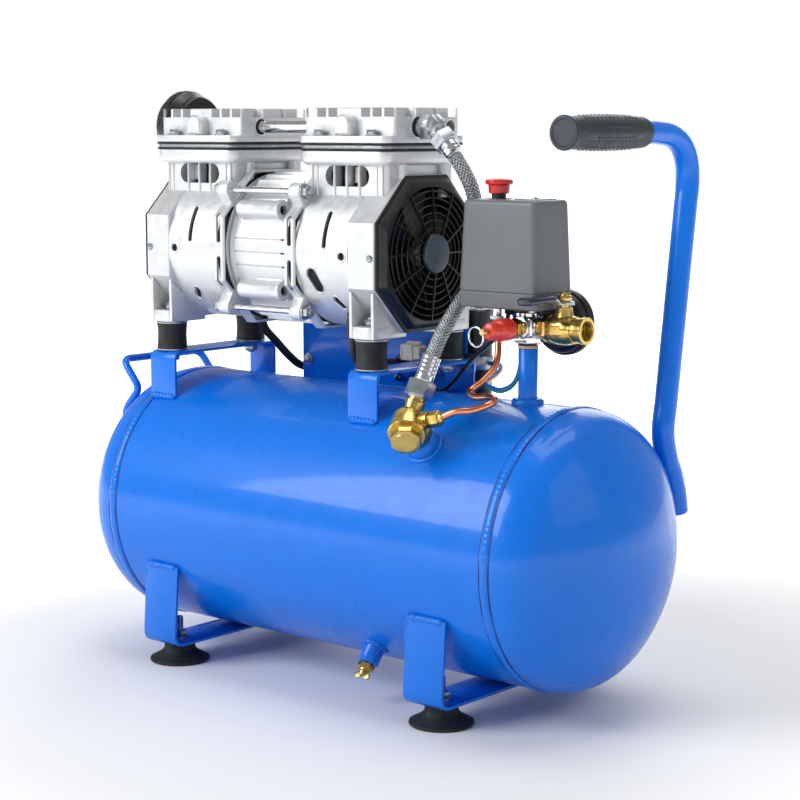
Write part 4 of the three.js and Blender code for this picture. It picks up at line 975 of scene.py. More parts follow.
@dataclass
class Saddles(OnTank):
    """The two bent brackets on the tank and the rubber mounts that hold the pump."""

    sheet: float = 3.0

    def build(self) -> None:
        """Builds both brackets and the mounts."""
        for side in ("left", "right"):
            e = Extent.of(f"saddle_{side}")
            low, high, foot, top = e.low[1] + 1.5, e.high[1] - 1.5, e.low[2] + 0.2, e.high[2] - 1.5
            form = Form(f"saddle_{side}_bracket")
            form.add(Finish.ENAMEL, strip([(high, foot), (high, top), (low, top), (low, foot)], 7, self.sheet,
                e.low[0], e.high[0]))
            for y, way in ((low - 1.3, -1), (high + 1.3, 1)):
                line = [vec(x, y, foot - 0.4) for x in np.linspace(e.low[0] + 1, e.high[0] - 1, 10)]
                form.add(Finish.ENAMEL, weld(line, 6.5, 3.2, vec(0, way, 0.7)))
            form.piece("frame", f"saddle_{side}", slot="tank_blue")
            for end in ("front", "rear"):
                self.mount(side, end, e.high[2])

    def mount(self, side: str, end: str, seat: float) -> None:
        """Builds a rubber block with its bonded plates, stud and nuts."""
        e = Extent.of(f"rubber_mount_{side}_{end}")
        at = vec(e.mid[0], e.mid[1], 0)
        tall = 28.9
        rows = [(seat + 0.3, 0), (seat + 0.3, 15.2), (seat + 1.6, 15.5), (seat + 6, 14.9),
            (seat + tall / 2, 14.5), (seat + tall - 6, 14.9), (seat + tall - 1.6, 15.5),
            (seat + tall - 0.3, 15.2), (seat + tall, 14.4), (seat + tall, 0)]
        form = Form(f"mount_{side}_{end}_block").add(Finish.RUBBER, revolve(rows, at, Z, 48))
        for z in (seat + 0.3, seat + tall - 1.2):
            form.add(Finish.ZINC, turned([(z, 15.6), (z + 0.3, 15.9), (z + 1.2, 15.9),
                (z + 1.4, 15.4)], at, Z, 48))
        nut = e.high[2] - 8.2
        form.add(Finish.ZINC, rod(3.9, at + Z * (nut - 14), at + Z * e.high[2], 18, 0.7))
        form.bolt(at + Z * (nut - 1.2), Z, 13, 6.2, 8.6)
        form.add(Finish.ZINC, rod(3.9, at + Z * e.low[2], at + Z * (seat + 1), 18, 0.7))
        form.bolt(at + Z * (seat - 3.3), -Z, 13, 6.2, 8.6)
        form.piece("frame", f"rubber_mount_{side}_{end}", slot="rubber")


# ---- pump
def octagon(apothem: float, count: int = 96) -> Array:
    """A regular octagon with level and upright flats, as evenly turned points."""
    a = 2 * math.pi * np.arange(count) / count
    lean = (a % (math.pi / 4)) - np.where(a % (math.pi / 4) > math.pi / 8, math.pi / 4, 0)
    r = apothem / np.cos(lean)
    return np.stack([r * np.cos(a), r * np.sin(a)], 1)


def stadium(length: float, width: float, steps: int = 9) -> Array:
    """A slot's outline: a rectangle with half-circle ends."""
    return rounded(length, width, width / 2 - 0.001, steps)


@dataclass
class Cylinder:
    """One side of the pump: crankcase, neck, valve plate, head, fan and fan cover.

    Places are (u, y, z): u is the distance from the pump's middle towards this side, and y
    and z are from its axis.
    """

    name: str
    side: int
    middle: Array

    drum: float = 74.0
    bore_u: float = 99.0

    def at(self, u: float, y: float = 0.0, z: float = 0.0) -> Array:
        """A place in the row frame."""
        return self.middle + vec(self.side * u, y, z)

    @property
    def out(self) -> Array:
        """The direction away from the pump's middle."""
        return X * self.side

    def on_drum(self, u: float, z: float, front: int, off: float = 0.0) -> Array:
        """A place on the drum's skin."""
        return self.at(u, front * (math.sqrt(self.drum**2 - z**2) + off), z)

    def build(self) -> None:
        """Builds this side."""
        self.build_crankcase()
        self.build_plate()
        self.build_head()
        self.build_fan()
        self.build_cover()

    # -- crankcase
    def opening(self, start: tuple[float, float], stop: tuple[float, float], radius: float,
            front: int) -> tuple[Solid, Array]:
        """A cutter for a slot in the drum, and the slot's outline in (u, z)."""
        a, b = np.array(start), np.array(stop)
        way = (b - a) / max(float(np.linalg.norm(b - a)), 1e-6)
        shape = stadium(float(np.linalg.norm(b - a)) + 2 * radius, 2 * radius)
        outline = (a + b) / 2 + shape[:, :1] * way + shape[:, 1:] * np.array([-way[1], way[0]])
        near, far = (np.array([self.at(u, front * y, z) for u, z in outline]) for y in (30, 95))
        return loft([near, far]), outline

    def build_crankcase(self) -> None:
        """Builds the drum with its slots, the motor flange, the octagon, the neck and the mounting lugs."""
        form = Form(f"crankcase_{self.name}_casting")
        slots = [((90, 37), (90, 8), 2.7, 0.0), ((111.7, -1.5), (112.3, -1.5), 3.6, 2.6),
            ((94, -44), (97.5, -49), 3.3, 1.8)]
        if self.side > 0:
            slots.append(((72.5, -20), (77.5, -31), 6.0, 1.6))
        cutters = []
        for front in (-1, 1):
            for start, stop, radius, rim in slots:
                cutter, outline = self.opening(start, stop, radius, front)
                cutters.append(cutter)
                if rim:
                    grown = inset(outline, -rim / 2)
                    path = np.array([self.on_drum(u, z, front, -0.2) for u, z in grown])
                    form.add(Finish.CAST, sweep(circle(1, 8) * [rim / 2, 0.9], path, loop=True, up=Y * front))
        shell = revolve([(0, self.drum), (66.5, self.drum), (66.5, 71.8), (0, 71.8)], self.at(53.5),
            self.out, 96, loop=True)
        form.add(Finish.CAST, carve(shell, cutters))
        # painted shade: a dark disc filling the inside of the drum
        form.add(Finish.SHADE_IN_HOLLOWS, disc(71.6, 66, self.at(54), self.out, 96))
        self.add_flange(form)
        rows = [(octagon(73.2), 120), (octagon(self.drum), 120.8), (octagon(self.drum), 151.4),
            (octagon(73), 152.5), (circle(69, 96), 152.5), (circle(69, 96), 119)]
        end = loft([ring(o, self.at(u), self.out, Z) for o, u in rows], loop=True)
        form.add(Finish.CAST, end)
        # painted shade: a dark ring lining the bore of the octagonal end
        form.add(Finish.SHADE_IN_HOLLOWS, revolve([(0, 68.9), (32.6, 68.9), (32.6, 66.5), (0, 66.5)], self.at(119.2),
            self.out, 72, loop=True))
        screw = [(0, 0), (0, 3.6), (1.2, 3.4), (2.2, 2.2), (2.4, 0)]
        for front in (-1, 1):
            form.add(Finish.ZINC, revolve(screw, self.at(147.5, front * self.drum, -2), Y * front, 20))
            slot = self.at(147.5, front * (self.drum + 2.2), -2)
            # painted shade in the screw head's slot
            form.add(Finish.SHADE_IN_HOLLOWS, block(slot - [1.8, 0.35, 0.3], slot + [1.8, 0.35, 0.3], 0.1))
        self.add_neck(form)
        self.add_lugs(form)
        form.piece("frame", f"crankcase_{self.name}", slot="cast_alu", crease=30)

    def add_flange(self, form: Form) -> None:
        """Adds the octagonal flange on the motor's side, with its slots and the four ears."""
        outer, inner = octagon(76), octagon(73.6)
        rows = [(inset(outer, 1.2), 40.3), (outer, 41.5), (outer, 52.8), (inset(outer, 1.2), 54), (inner, 54)]
        rings = [ring(o, self.at(u), self.out, Z) for o, u in [*rows, (inner, 40.3)]]
        cutters = [self.opening((47.5, low), (47.5, high), 2.6, front)[0] for front in (-1, 1)
            for low, high in ((8.5, 32), (-34, -10))]
        form.add(Finish.CAST, carve(loft(rings, loop=True), cutters))
        # painted shade: a dark disc inside the flange
        form.add(Finish.SHADE_IN_HOLLOWS, disc(73.4, 12.4, self.at(41), self.out, 48))
        form.add(Finish.CAST, disc(72.5, 1.4, self.at(40.4), self.out, 64),
            disc(73.5, 3, self.at(52), self.out, 64))
        for front in (-1, 1):
            for up in (-1, 1):
                ear = vec(0, front * 62, up * 57.5)
                arm = unit(ear)
                beside = np.cross(X, arm)
                angles = np.linspace(-math.pi / 2, math.pi / 2, 11)
                tip = [ear + 8.6 * (math.cos(a) * arm + math.sin(a) * beside) for a in angles]
                foot = [ear - arm * 22 + beside * 15, ear - arm * 22 - beside * 15]
                outline = np.array([self.at(40.8) + p for p in [*tip, *foot]])
                form.add(Finish.CAST, soften(loft([outline, outline + self.out * 14.5]), 1.4, 40))

    def add_neck(self, form: Form) -> None:
        """Adds the neck: a vent on each face behind three ribs, thin corner ribs, and the top flange."""
        foot = self.at(self.bore_u, 0, 38)
        body = prism(rounded(97, 100, 7, 7), foot, Z, 45, Y)
        windows = []
        for front in (-1, 1):
            place = self.at(self.bore_u, front * 41, 72.5)
            windows.append(prism(stadium(55, 19.6, 12), place, Y * front, 14, Z))
            place = self.at(self.bore_u, front * 40.4, 72.5)
            # painted shade: a dark sheet behind the vent window
            form.add(Finish.SHADE_IN_HOLLOWS, prism(stadium(54.8, 19.4, 12), place, Y * front, 1, Z))
            for finish, u, half, z0, z1 in ((Finish.STEEL, -7, 1.6, 62.8, 74),
                    (Finish.MACHINED, 9, 5, 66, 81)):
                low, high = (self.at(self.bore_u + u, front * 42.5, z) for z in (z0, z1))
                form.add(finish, block(low - [half, 0.9, 0], high + [half, 0.9, 0], 0.3))
            for step in (-1, 0, 1):
                u = self.bore_u + step * 15.5
                form.add(Finish.CAST, self.rib(u, front, 41.5, 51.6, 51, 83.5, 1.3))
            for u in (self.bore_u - 44, self.bore_u - 37.5, self.bore_u + 37.5, self.bore_u + 44):
                form.add(Finish.CAST, self.rib(u, front, 45, 50.9, 53, 83.5, 0.8))
        windows.append(rod(69.4, self.at(119), self.at(165), 72))
        form.add(Finish.CAST, carve(body, windows),
            prism(rounded(113, 118, 13, 7), self.at(self.bore_u, 0, 82.5), Z, 13.5, Y, 6, 5, 1))
        for x in (-1, 1):
            for y in (-1, 1):
                start, stop = (self.at(self.bore_u + x * 50.5, y * 30, z) for z in (52, 84))
                form.add(Finish.CAST, rod(4.6, start, stop, 20))

    def rib(self, u: float, front: int, y0: float, y1: float, z0: float, z1: float, half: float) -> Solid:
        """An upright rib on the neck, with a rounded outer edge."""
        at = self.at(u, front * y0, (z0 + z1) / 2)
        return prism(rounded(2 * half, z1 - z0, half * 0.6, 3), at, Y * front, y1 - y0, Z,
            0.01, 1, half * 0.7)

    def add_lugs(self, form: Form) -> None:
        """Adds the two pads that sit on the rubber mounts, each with two gussets."""
        for front in (-1, 1):
            pad = rounded(31, 31, 9, 7)
            form.add(Finish.CAST, prism(pad, self.at(135, front * 57, -78), Z, 12, Y, 1.2, 3, 1.6))
            for end in (-1, 1):
                rows = [(front * 71.5, -77.6), (front * 71.5, -67), (front * 72.2, -34), (front * 30, -70.5),
                    (front * 30, -77.6)]
                start = np.array([self.at(135 + end * 13.4 - 1.9, y, z) for y, z in rows])
                form.add(Finish.CAST, soften(loft([start, start + self.out * 3.8]), 0.9, 20))
            low, high = self.at(119.6, front * 24, -78), self.at(150.4, front * 60, -71)
            form.add(Finish.CAST, block(np.minimum(low, high), np.maximum(low, high), 1.2))

    # -- valve plate and head
    def build_plate(self) -> None:
        """Builds the valve plate between its two gaskets."""
        e = Extent.of(f"valve_plate_{self.name}")
        form = Form(f"valve_plate_{self.name}_stack")
        base = vec(e.mid[0], e.mid[1], e.low[2])
        for finish, grow, low, high in ((Finish.GASKET, 0.4, -0.2, 1.7), (Finish.STEEL, -0.8, 1.7, 5.0),
                (Finish.GASKET, 0.6, 5.0, 6.9)):
            shape = rounded(e.size[0] + 2 * grow, e.size[1] + 2 * grow, 10, 7)
            form.add(finish, prism(shape, base + Z * low, Z, high - low, Y, 0.25, 2))
        form.piece("frame", f"valve_plate_{self.name}", slot="gasket")

    def build_head(self) -> None:
        """Builds the head: base plate, finned top, arched bosses, bolts and ports."""
        e = Extent.of(f"cylinder_head_{self.name}")
        form = Form(f"head_{self.name}_casting")
        x, y, base, top = e.mid[0], e.mid[1], e.low[2], e.high[2]
        form.add(Finish.CAST, prism(rounded(e.size[0], e.size[1], 9, 7), vec(x, y, base), Z, 7,
            Y, 0.8, 3, 1.2))
        body = prism(rounded(e.size[0] - 0.6, 94, 2.5, 4), vec(x, y, base + 6), Z, top - base - 6,
            Y, 0.01, 1, 0.8)
        cutters = []
        for way in (-1, 1):
            for step in range(3):
                mid = x + way * (20.5 + 14.3 * step)
                for front in (-1, 1):
                    low, high = sorted((y + front * 14.0, y + front * 60))
                    cutters.append(block(vec(mid - 5.7, low, top - 8.6), vec(mid + 5.7, high, top + 4), 0.5))
            for step in (-1, 0, 1):
                low, high = sorted((x + way * (e.size[0] / 2 - 2.6), x + way * (e.size[0] / 2 + 4)))
                cutters.append(block(vec(low, y + step * 30 - 13.4, top - 9.2),
                    vec(high, y + step * 30 + 13.4, top + 4), 0.4))
        inner = x - self.side * e.size[0] / 2
        outer = x + self.side * e.size[0] / 2
        mid_z = base + 15
        ports = [(inner, -20.0, 6.8, -1)]
        ports += [(outer, -14.0, 8.4, 1), (outer, 34.0, 6.5, 1)] if self.side > 0 else [(outer, 12.0, 8.0, 1)]
        for face, py, r, way in ports:
            d = self.out * way
            mouth = vec(face, y + py, mid_z)
            cutters.append(rod(r, mouth - d * 9, mouth + d * 2, 32))
            # painted shade: a dark disc at the bottom of the port
            form.add(Finish.SHADE_IN_HOLLOWS, disc(r + 0.5, 0.5, mouth - d * 9.3, d, 32))
            lip = [(-1, r), (-1, r + 2.4), (0.5, r + 2.2), (0.8, r + 1), (0.4, r)]
            form.add(Finish.CAST, revolve(lip, mouth, d, 40, loop=True))
        form.add(Finish.CAST, carve(body, cutters))
        for front in (-1, 1):
            a = np.linspace(0, math.pi, 15)
            arch = np.array([[10, -9.6], *np.stack([10 * np.cos(a), 10 * np.sin(a)], 1), [-10, -9.6]])
            at = vec(x, y + front * 44, base + 17)
            form.add(Finish.CAST, prism(arch, at, Y * front, 14.2, Z, 0.01, 1, 2.2))
            for step in (-1, 1):
                form.bolt(vec(x + step * 33, y + front * 53.2, base + 7), Z, 8, 4.6, 5.6)
        form.piece("frame", f"cylinder_head_{self.name}", slot="cast_alu", crease=30)

    # -- fan and cover
    def build_fan(self) -> None:
        """Builds the fan: a hub and twisted blades, each a thin slab lofted from root to tip."""
        form = Form(f"fan_{self.name}_wheel")
        form.add(Finish.BLACK, revolve([(0, 8.4), (0, 13), (1, 14), (15, 14), (16, 13), (16, 8.4)],
            self.at(130), self.out, 40, loop=True))
        for radial in spokes(7, Z, Y):
            round_ = np.cross(radial, X)
            rings = []
            for r in np.linspace(12, 57, 7):
                pitch = math.radians(52 - 26 * (r - 12) / 45)
                wide = 13 + 12 * (r - 12) / 45
                chord = wide * min(1.0, 14.5 / (math.sin(pitch) * wide) / 1.05)
                way = math.sin(pitch) * self.out + math.cos(pitch) * round_
                thick = np.cross(way, radial)
                shape = rounded(chord, 1.5, 0.7, 4)
                rings.append(self.at(138) + radial * r + shape[:, :1] * way + shape[:, 1:] * thick)
            form.add(Finish.BLACK, loft(rings))
        form.piece("rotor", f"fan_{self.name}", slot="black_plastic")

    def build_cover(self) -> None:
        """Builds the octagonal cover with its spider-web grille and hub disc."""
        form = Form(f"fan_cover_{self.name}_grille")
        rows = [(octagon(r), u) for r, u in ((73.2, 152.9), (73.4, 154.6), (72.2, 155.2), (70.6, 155.3),
            (66.6, 161.2), (65.6, 161.9))]
        rows += [(circle(r, 96), u) for r, u in ((64, 162.2), (63, 161.4), (62.6, 156))]
        rows.append((octagon(69), 153.2))
        form.add(Finish.BLACK, loft([ring(o, self.at(u), self.out, Z) for o, u in rows], loop=True))

        def level(r: float) -> float:
            return 160.4 + 5.2 * (1 - (r - 17) / 46)

        for radius in (24.5, 31.5, 38.5, 45.5, 52.5, 58.8):
            form.add(Finish.BLACK, hoop(self.at(level(radius)), self.out, radius, 0.75, 84, 8))
        shape = rounded(3.2, 1.5, 0.6, 3)
        for out in spokes(12, Z, Y):
            section = shape[:, :1] * self.out + shape[:, 1:] * np.cross(out, X)
            form.add(Finish.BLACK, loft([self.at(level(r)) + out * r + section for r in (14, 30, 46, 63.4)]))
        form.add(Finish.BLACK, turned([(0, 18.8), (4.6, 19), (5.4, 18.4)], self.at(161.6), self.out, 56))
        form.add(Finish.HUB, revolve([(0, 0), (0, 17.6), (0.8, 17.9), (1.9, 17.4), (2.3, 15.5), (2.5, 0)],
            self.at(166.6), self.out, 56))
        form.piece("frame", f"fan_cover_{self.name}", slot="black_plastic", crease=26)


@dataclass
class Pump:
    """The pump: motor housing, tie rods, both cylinders and what joins the heads."""

    middle: Array = field(default_factory=lambda: Extent.of("motor_housing").mid)
    barrel: float = 66.0
    groove_z: tuple[float, ...] = (10.6, -2.5, -16.0)

    def at(self, u: float, y: float = 0.0, z: float = 0.0) -> Array:
        """A place from the pump's middle."""
        return self.middle + vec(u, y, z)

    def build(self) -> None:
        """Builds the pump."""
        self.build_housing()
        for name, side in (("left", -1), ("right", 1)):
            Cylinder(name, side, self.middle).build()
        self.build_tie_rods()
        self.build_crossover()
        self.build_filter()
        for node in ("rotor_shaft", "piston_left", "piston_right"):
            dress(node, Finish.MACHINED)

    def build_housing(self) -> None:
        """Builds the motor housing: a grooved barrel, corner tubes, and fins above and below."""
        form = Form("motor_housing_casting")
        full_turn = 2 * math.pi
        grooves = [math.pi - math.asin(z / self.barrel) for z in self.groove_z]
        grooves += [-(g - math.pi) for g in grooves]
        near = [(g + np.linspace(-0.016, 0.016, 7)) % full_turn for g in grooves]
        angles = np.sort(np.concatenate([np.linspace(0, full_turn, 180, endpoint=False), *near]))
        radius = np.full(len(angles), self.barrel)
        for g in grooves:
            off = np.abs((angles - g + math.pi) % full_turn - math.pi)
            radius -= 1.1 * np.clip(1 - off / 0.012, 0, 1)
        outline = np.stack([radius * np.cos(angles), radius * np.sin(angles)], 1)
        form.add(Finish.CAST, prism(outline, self.at(-39.6), X, 79.2, Z))
        form.add(Finish.CAST, *[turned([(0, 68.5), (3, 68.5), (4.5, 66)], self.at(way * 39.6), -X * way, 72)
            for way in (-1, 1)])
        for front in (-1, 1):
            for z in self.groove_z:
                y = front * math.sqrt(self.barrel**2 - z**2)
                # painted shade: a short dark mark in each groove
                form.add(Finish.SHADE_IN_HOLLOWS, block(self.at(27, y - 0.55, z - 0.7),
                    self.at(33, y + 0.55, z + 0.7), 0.3))
            for up in (-1, 1):
                y, z = front * 60, up * 39
                form.add(Finish.CAST, revolve([(0, 0), (0.8, 7.4), (3, 8.8), (51, 9), (53, 9.8), (57, 9.8),
                    (58, 9), (58, 4.9), (52, 4.7), (52, 0)], self.at(-32, y, z), X, 36))
                # painted shade: a dark disc at the bottom of the tube's bore
                form.add(Finish.SHADE_IN_HOLLOWS, disc(4.8, 0.4, self.at(21, y, z), X, 24))
                for fz, fy in ((up * 30, front * 57), (up * 47, front * 49)):
                    form.add(Finish.CAST, block(self.at(-30, fy, fz) - [0, 3, 3],
                        self.at(24, fy, fz) + [0, 3, 3], 2))
        for up in (-1, 1):
            for y in (-45, -35, -24, -12, 0, 12, 24, 35, 45):
                tip = math.sqrt(75.5**2 - y**2)
                rows = [(-35, 40), (35, 40), (33, tip - 5), (29.5, tip), (-29.5, tip), (-33, tip - 5)]
                start = np.array([self.at(u, y - 1.2, up * z) for u, z in rows])
                form.add(Finish.CAST, soften(loft([start, start + Y * 2.4]), 0.5, 40))
        form.piece("frame", "motor_housing", slot="cast_alu", crease=30)

    def build_tie_rods(self) -> None:
        """Builds the four bright rods between the crankcases, with a washer and nut at each end."""
        for end in ("front", "rear"):
            for level in ("lower", "upper"):
                e = Extent.of(f"tie_rod_{end}_{level}")
                middle = vec(self.middle[0], e.mid[1], e.mid[2])
                form = Form(f"tie_rod_{end}_{level}_stud")
                form.add(Finish.CHROME, rod(3.1, middle - X * 41.5, middle + X * 41.5, 24))
                for way in (-1, 1):
                    seat = middle + X * way * 55.4
                    form.bolt(seat, X * way, 11, 5.6, 7.2)
                    form.add(Finish.ZINC, rod(3.1, middle + X * way * 40, seat + X * way * 9, 20, 0.6))
                form.piece("frame", f"tie_rod_{end}_{level}", slot="zinc_steel")

    def build_crossover(self) -> None:
        """Builds the bright tube between the heads, with its seals."""
        e = Extent.of("crossover_tube")
        form = Form("crossover_pipe")
        a, b = vec(e.low[0] - 2, e.mid[1], e.mid[2]), vec(e.high[0] + 2, e.mid[1], e.mid[2])
        form.add(Finish.CHROME, rod(5.9, a, b, 40))
        face = e.low[0] + 6.0, e.high[0] - 6.0
        for x, way in ((face[0], 1), (face[1], -1)):
            form.add(Finish.GASKET, hoop(vec(x + way * 0.6, e.mid[1], e.mid[2]), X, 6.9, 1.0, 40, 10))
            form.add(Finish.CHROME, hoop(vec(x + way * 9, e.mid[1], e.mid[2]), X, 5.9, 0.55, 40, 8))
        form.piece("frame", "crossover_tube", slot="zinc_steel")

    def build_filter(self) -> None:
        """Builds the stepped, ribbed intake filter on the left head."""
        e = Extent.of("intake_filter")
        at = vec(Extent.of("cylinder_head_left").low[0], e.mid[1],
            Extent.of("cylinder_head_left").low[2] + 15)
        rows = [(0, 0), (0, 17), (3, 18), (3.2, 27), (4, 29.8), (5.2, 30.8), (9, 30.8), (10.5, 31.6),
            (14, 33.6), (18, 36), (19, 36.8), (20.4, 36.9), (20.8, 36.2), (22, 36.2), (22.4, 36.9),
            (29.6, 36.9), (30.8, 36.2), (32.6, 34.2), (36, 33), (38, 32), (39.4, 30), (40, 28), (39.4, 26.5),
            (38.6, 25.5), (38.4, 10), (39.4, 9), (39.8, 0)]
        form = Form("intake_filter_cap").add(Finish.BLACK, revolve(rows, at, -X, 72))
        form.ribbed(Finish.BLACK, at, -X, 24, 36.6, 0.7, (22.8, 29.2))
        form.piece("frame", "intake_filter", slot="black_plastic")


def dress(node: str, finish: Finish) -> None:
    """Gives a CAD node that stays in view its material."""
    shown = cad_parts[node]
    shown.data.materials.clear()
    shown.data.materials.append(material_of(finish))


# ---- air line
@dataclass
class AirLine(OnTank):
    """The elbow, braided hose, check valve and unloader tube between pump, tank and switch."""

    lean: Array = field(default_factory=lambda: unit(vec(0.72, 0, -0.69)))
    neck: Array = field(default_factory=lambda: unit(vec(0.08, 0.42, 0.9)))
    cap: Array = field(default_factory=lambda: unit(vec(0.45, -0.7, -0.55)))
    branch: Array = field(default_factory=lambda: unit(vec(0.97, 0.15, 0.2)))

    @property
    def valve(self) -> Array:
        """The middle of the check valve's body."""
        x, degrees = self.tank.check_at
        return self.tank.around(x, 164, degrees)

    def build(self) -> None:
        """Builds the four pieces."""
        self.build_elbow()
        self.build_hose()
        self.build_valve()
        self.build_tube()

    @property
    def turn(self) -> Array:
        """Where the elbow turns, past the right head's outer face."""
        head = Extent.of("cylinder_head_right")
        return self.place(head.high[0] + 19, -14, head.low[2] + 15)

    def build_elbow(self) -> None:
        """Builds the elbow: a threaded stub, a hexagonal block and a collar that leans down."""
        form = Form("outlet_elbow_fitting")
        face = self.turn - X * 19
        form.add(Finish.GASKET, turned([(-1.5, 8.2), (0.8, 9.6), (1.6, 9.2)], face, X, 36))
        form.add(Finish.ZINC, turned([(-8, 6.2), (2, 6.2), (2, 7.8), (5, 8.2), (8, 9.6),
            (9, 10)], face, X, 36),
            prism(polygon(6, 22, 0.0), face + X * 7, X, 15, Z, 1.4, 3, 2.4),
            soften(prism(polygon(6, 20), self.turn - self.lean * 7, self.lean, 13, Y, 0.8), 0.8),
            turned([(0, 8.8), (2, 9.4), (4, 8), (11, 7.6)], self.turn + self.lean * 4, self.lean, 36))
        form.piece("frame", "outlet_elbow", slot="zinc_steel")

    def build_hose(self) -> None:
        """Builds the braided hose with a hex nut and a swaged sleeve at each end."""
        top, low = self.turn + self.lean * 11.3, self.valve + self.neck * 24.3
        route = self.places((112, 8, 483), (107, 26, 455), (106, 37, 428), (108, 25, 396), (111, -8, 370),
            (118, -42, 344), (130, -74, 321))
        path = curve([top + self.lean * 15, *route, low + self.neck * 30], 14)
        long = lengths(path)[-1]
        path = respaced(path, int(long))

        def section(t: float) -> Array:
            return circle(6.7 + 0.35 * math.sin(t * long * 2 * math.pi / 2.6), 24)

        Form("discharge_hose_braid").add(Finish.BRAID, sweep(section, path)).cord(path, 6.8, "discharge_hose",
            "braid", "stiff")
        form = Form("discharge_hose_fittings")
        for at, way, flats, length, sleeve in ((top, self.lean, 22, 12.5, 18), (low, self.neck, 22, 16, 32)):
            form.add(Finish.ZINC, turned([(-1, flats * 0.42), (1.5, flats * 0.5)], at, way, 36),
                prism(polygon(6, flats), at, way, length, None, 1.2, 3, 1.8))
            r = flats * 0.4
            rows = [(length - 1, 0), (length - 1, r), (length + 3, r)]
            z = length + 3
            while z < sleeve - 1 + length * 0.4:
                rows += [(z, r * 0.95), (z + 1.2, r * 0.95), (z + 1.5, r), (z + 3.2, r)]
                z += 4
            rows += [(z, r * 0.96), (z + 0.5, r * 0.84), (z + 0.5, 0)]
            form.add(Finish.CHROME, revolve(rows, at, way, 36))
        form.piece("frame", "discharge_hose", slot="zinc_steel")

    def build_valve(self) -> None:
        """Builds the check valve: a hex foot in the boss, a round body, a cap and two branches."""
        x, degrees = self.tank.check_at
        c, way = self.valve, unit(self.valve - self.tank.around(x, 0, degrees))
        foot = self.tank.around(x, 143.3, degrees)
        form = Form("check_valve_body")
        form.add(Finish.BRASS, hexagon(25, foot, way, 8, 1, 1.4),
            turned([(4, 11), (14, 10.5), (19, 12.5)], foot, way, 36))
        t = np.linspace(0, math.pi, 17)
        form.add(Finish.BRASS, revolve([(-15.5 * math.cos(a), 15.5 * math.sin(a)) for a in t],
            c, self.cap, 44),
            turned([(-4, 14.6), (0, 15.6), (9, 15.6), (10.5, 17), (15.5, 17.2), (16.4, 16.4), (16.6, 14),
                (17.4, 14)], c, self.cap, 52),
            prism(polygon(8, 26.5), c + self.cap * 17, self.cap, 9.8, None, 0.6, 2, 1.4),
            turned([(0, 10.5), (0.5, 10.2)], c + self.cap * 26.6, self.cap, 36),
            turned([(0, 9.5), (14, 8.6), (18, 9.6), (20, 9.6), (21, 8), (24.4, 8)], c, self.neck, 36),
            turned([(0, 8), (14, 6.6), (17, 7.6), (22, 7.6)], c, self.branch, 32))
        form.piece("frame", "check_valve", slot="brass")

    def build_tube(self) -> None:
        """Builds the bent copper tube with a brass nut below and a plated fitting under the switch."""
        nut = self.valve + self.branch * 22.3
        route = self.places((184, -103, 287), (198, -96, 289), (209, -87, 294), (207, -76, 297),
            (192, -66, 297), (172, -60, 295), (162, -54, 298), (166, -40, 307), (168, -24, 320),
            (164, -15, 337), (160, -12, 356))
        path = curve([nut + self.branch * 10, *route], 12)
        form = Form("unloader_tube_run").add(Finish.COPPER, tube(3.15, path, 18))
        form.add(Finish.BRASS, hexagon(13, nut, self.branch, 11, 0.7, 1.0),
            turned([(10, 5.2), (14, 4.8), (14.6, 4)], nut, self.branch, 28))
        top = self.place(160, -12, 0)
        form.add(Finish.CHROME, hexagon(10, top + Z * 353, Z, 8, 0.5, 0.6))
        form.add(Finish.WHITE, turned([(361, 6), (362.6, 6.4), (363.6, 6)], top, Z, 28))
        form.add(Finish.CHROME, rod(4.4, top + Z * 363, top + Z * 371.6, 24, 0.4))
        form.piece("frame", "unloader_tube", slot="copper")


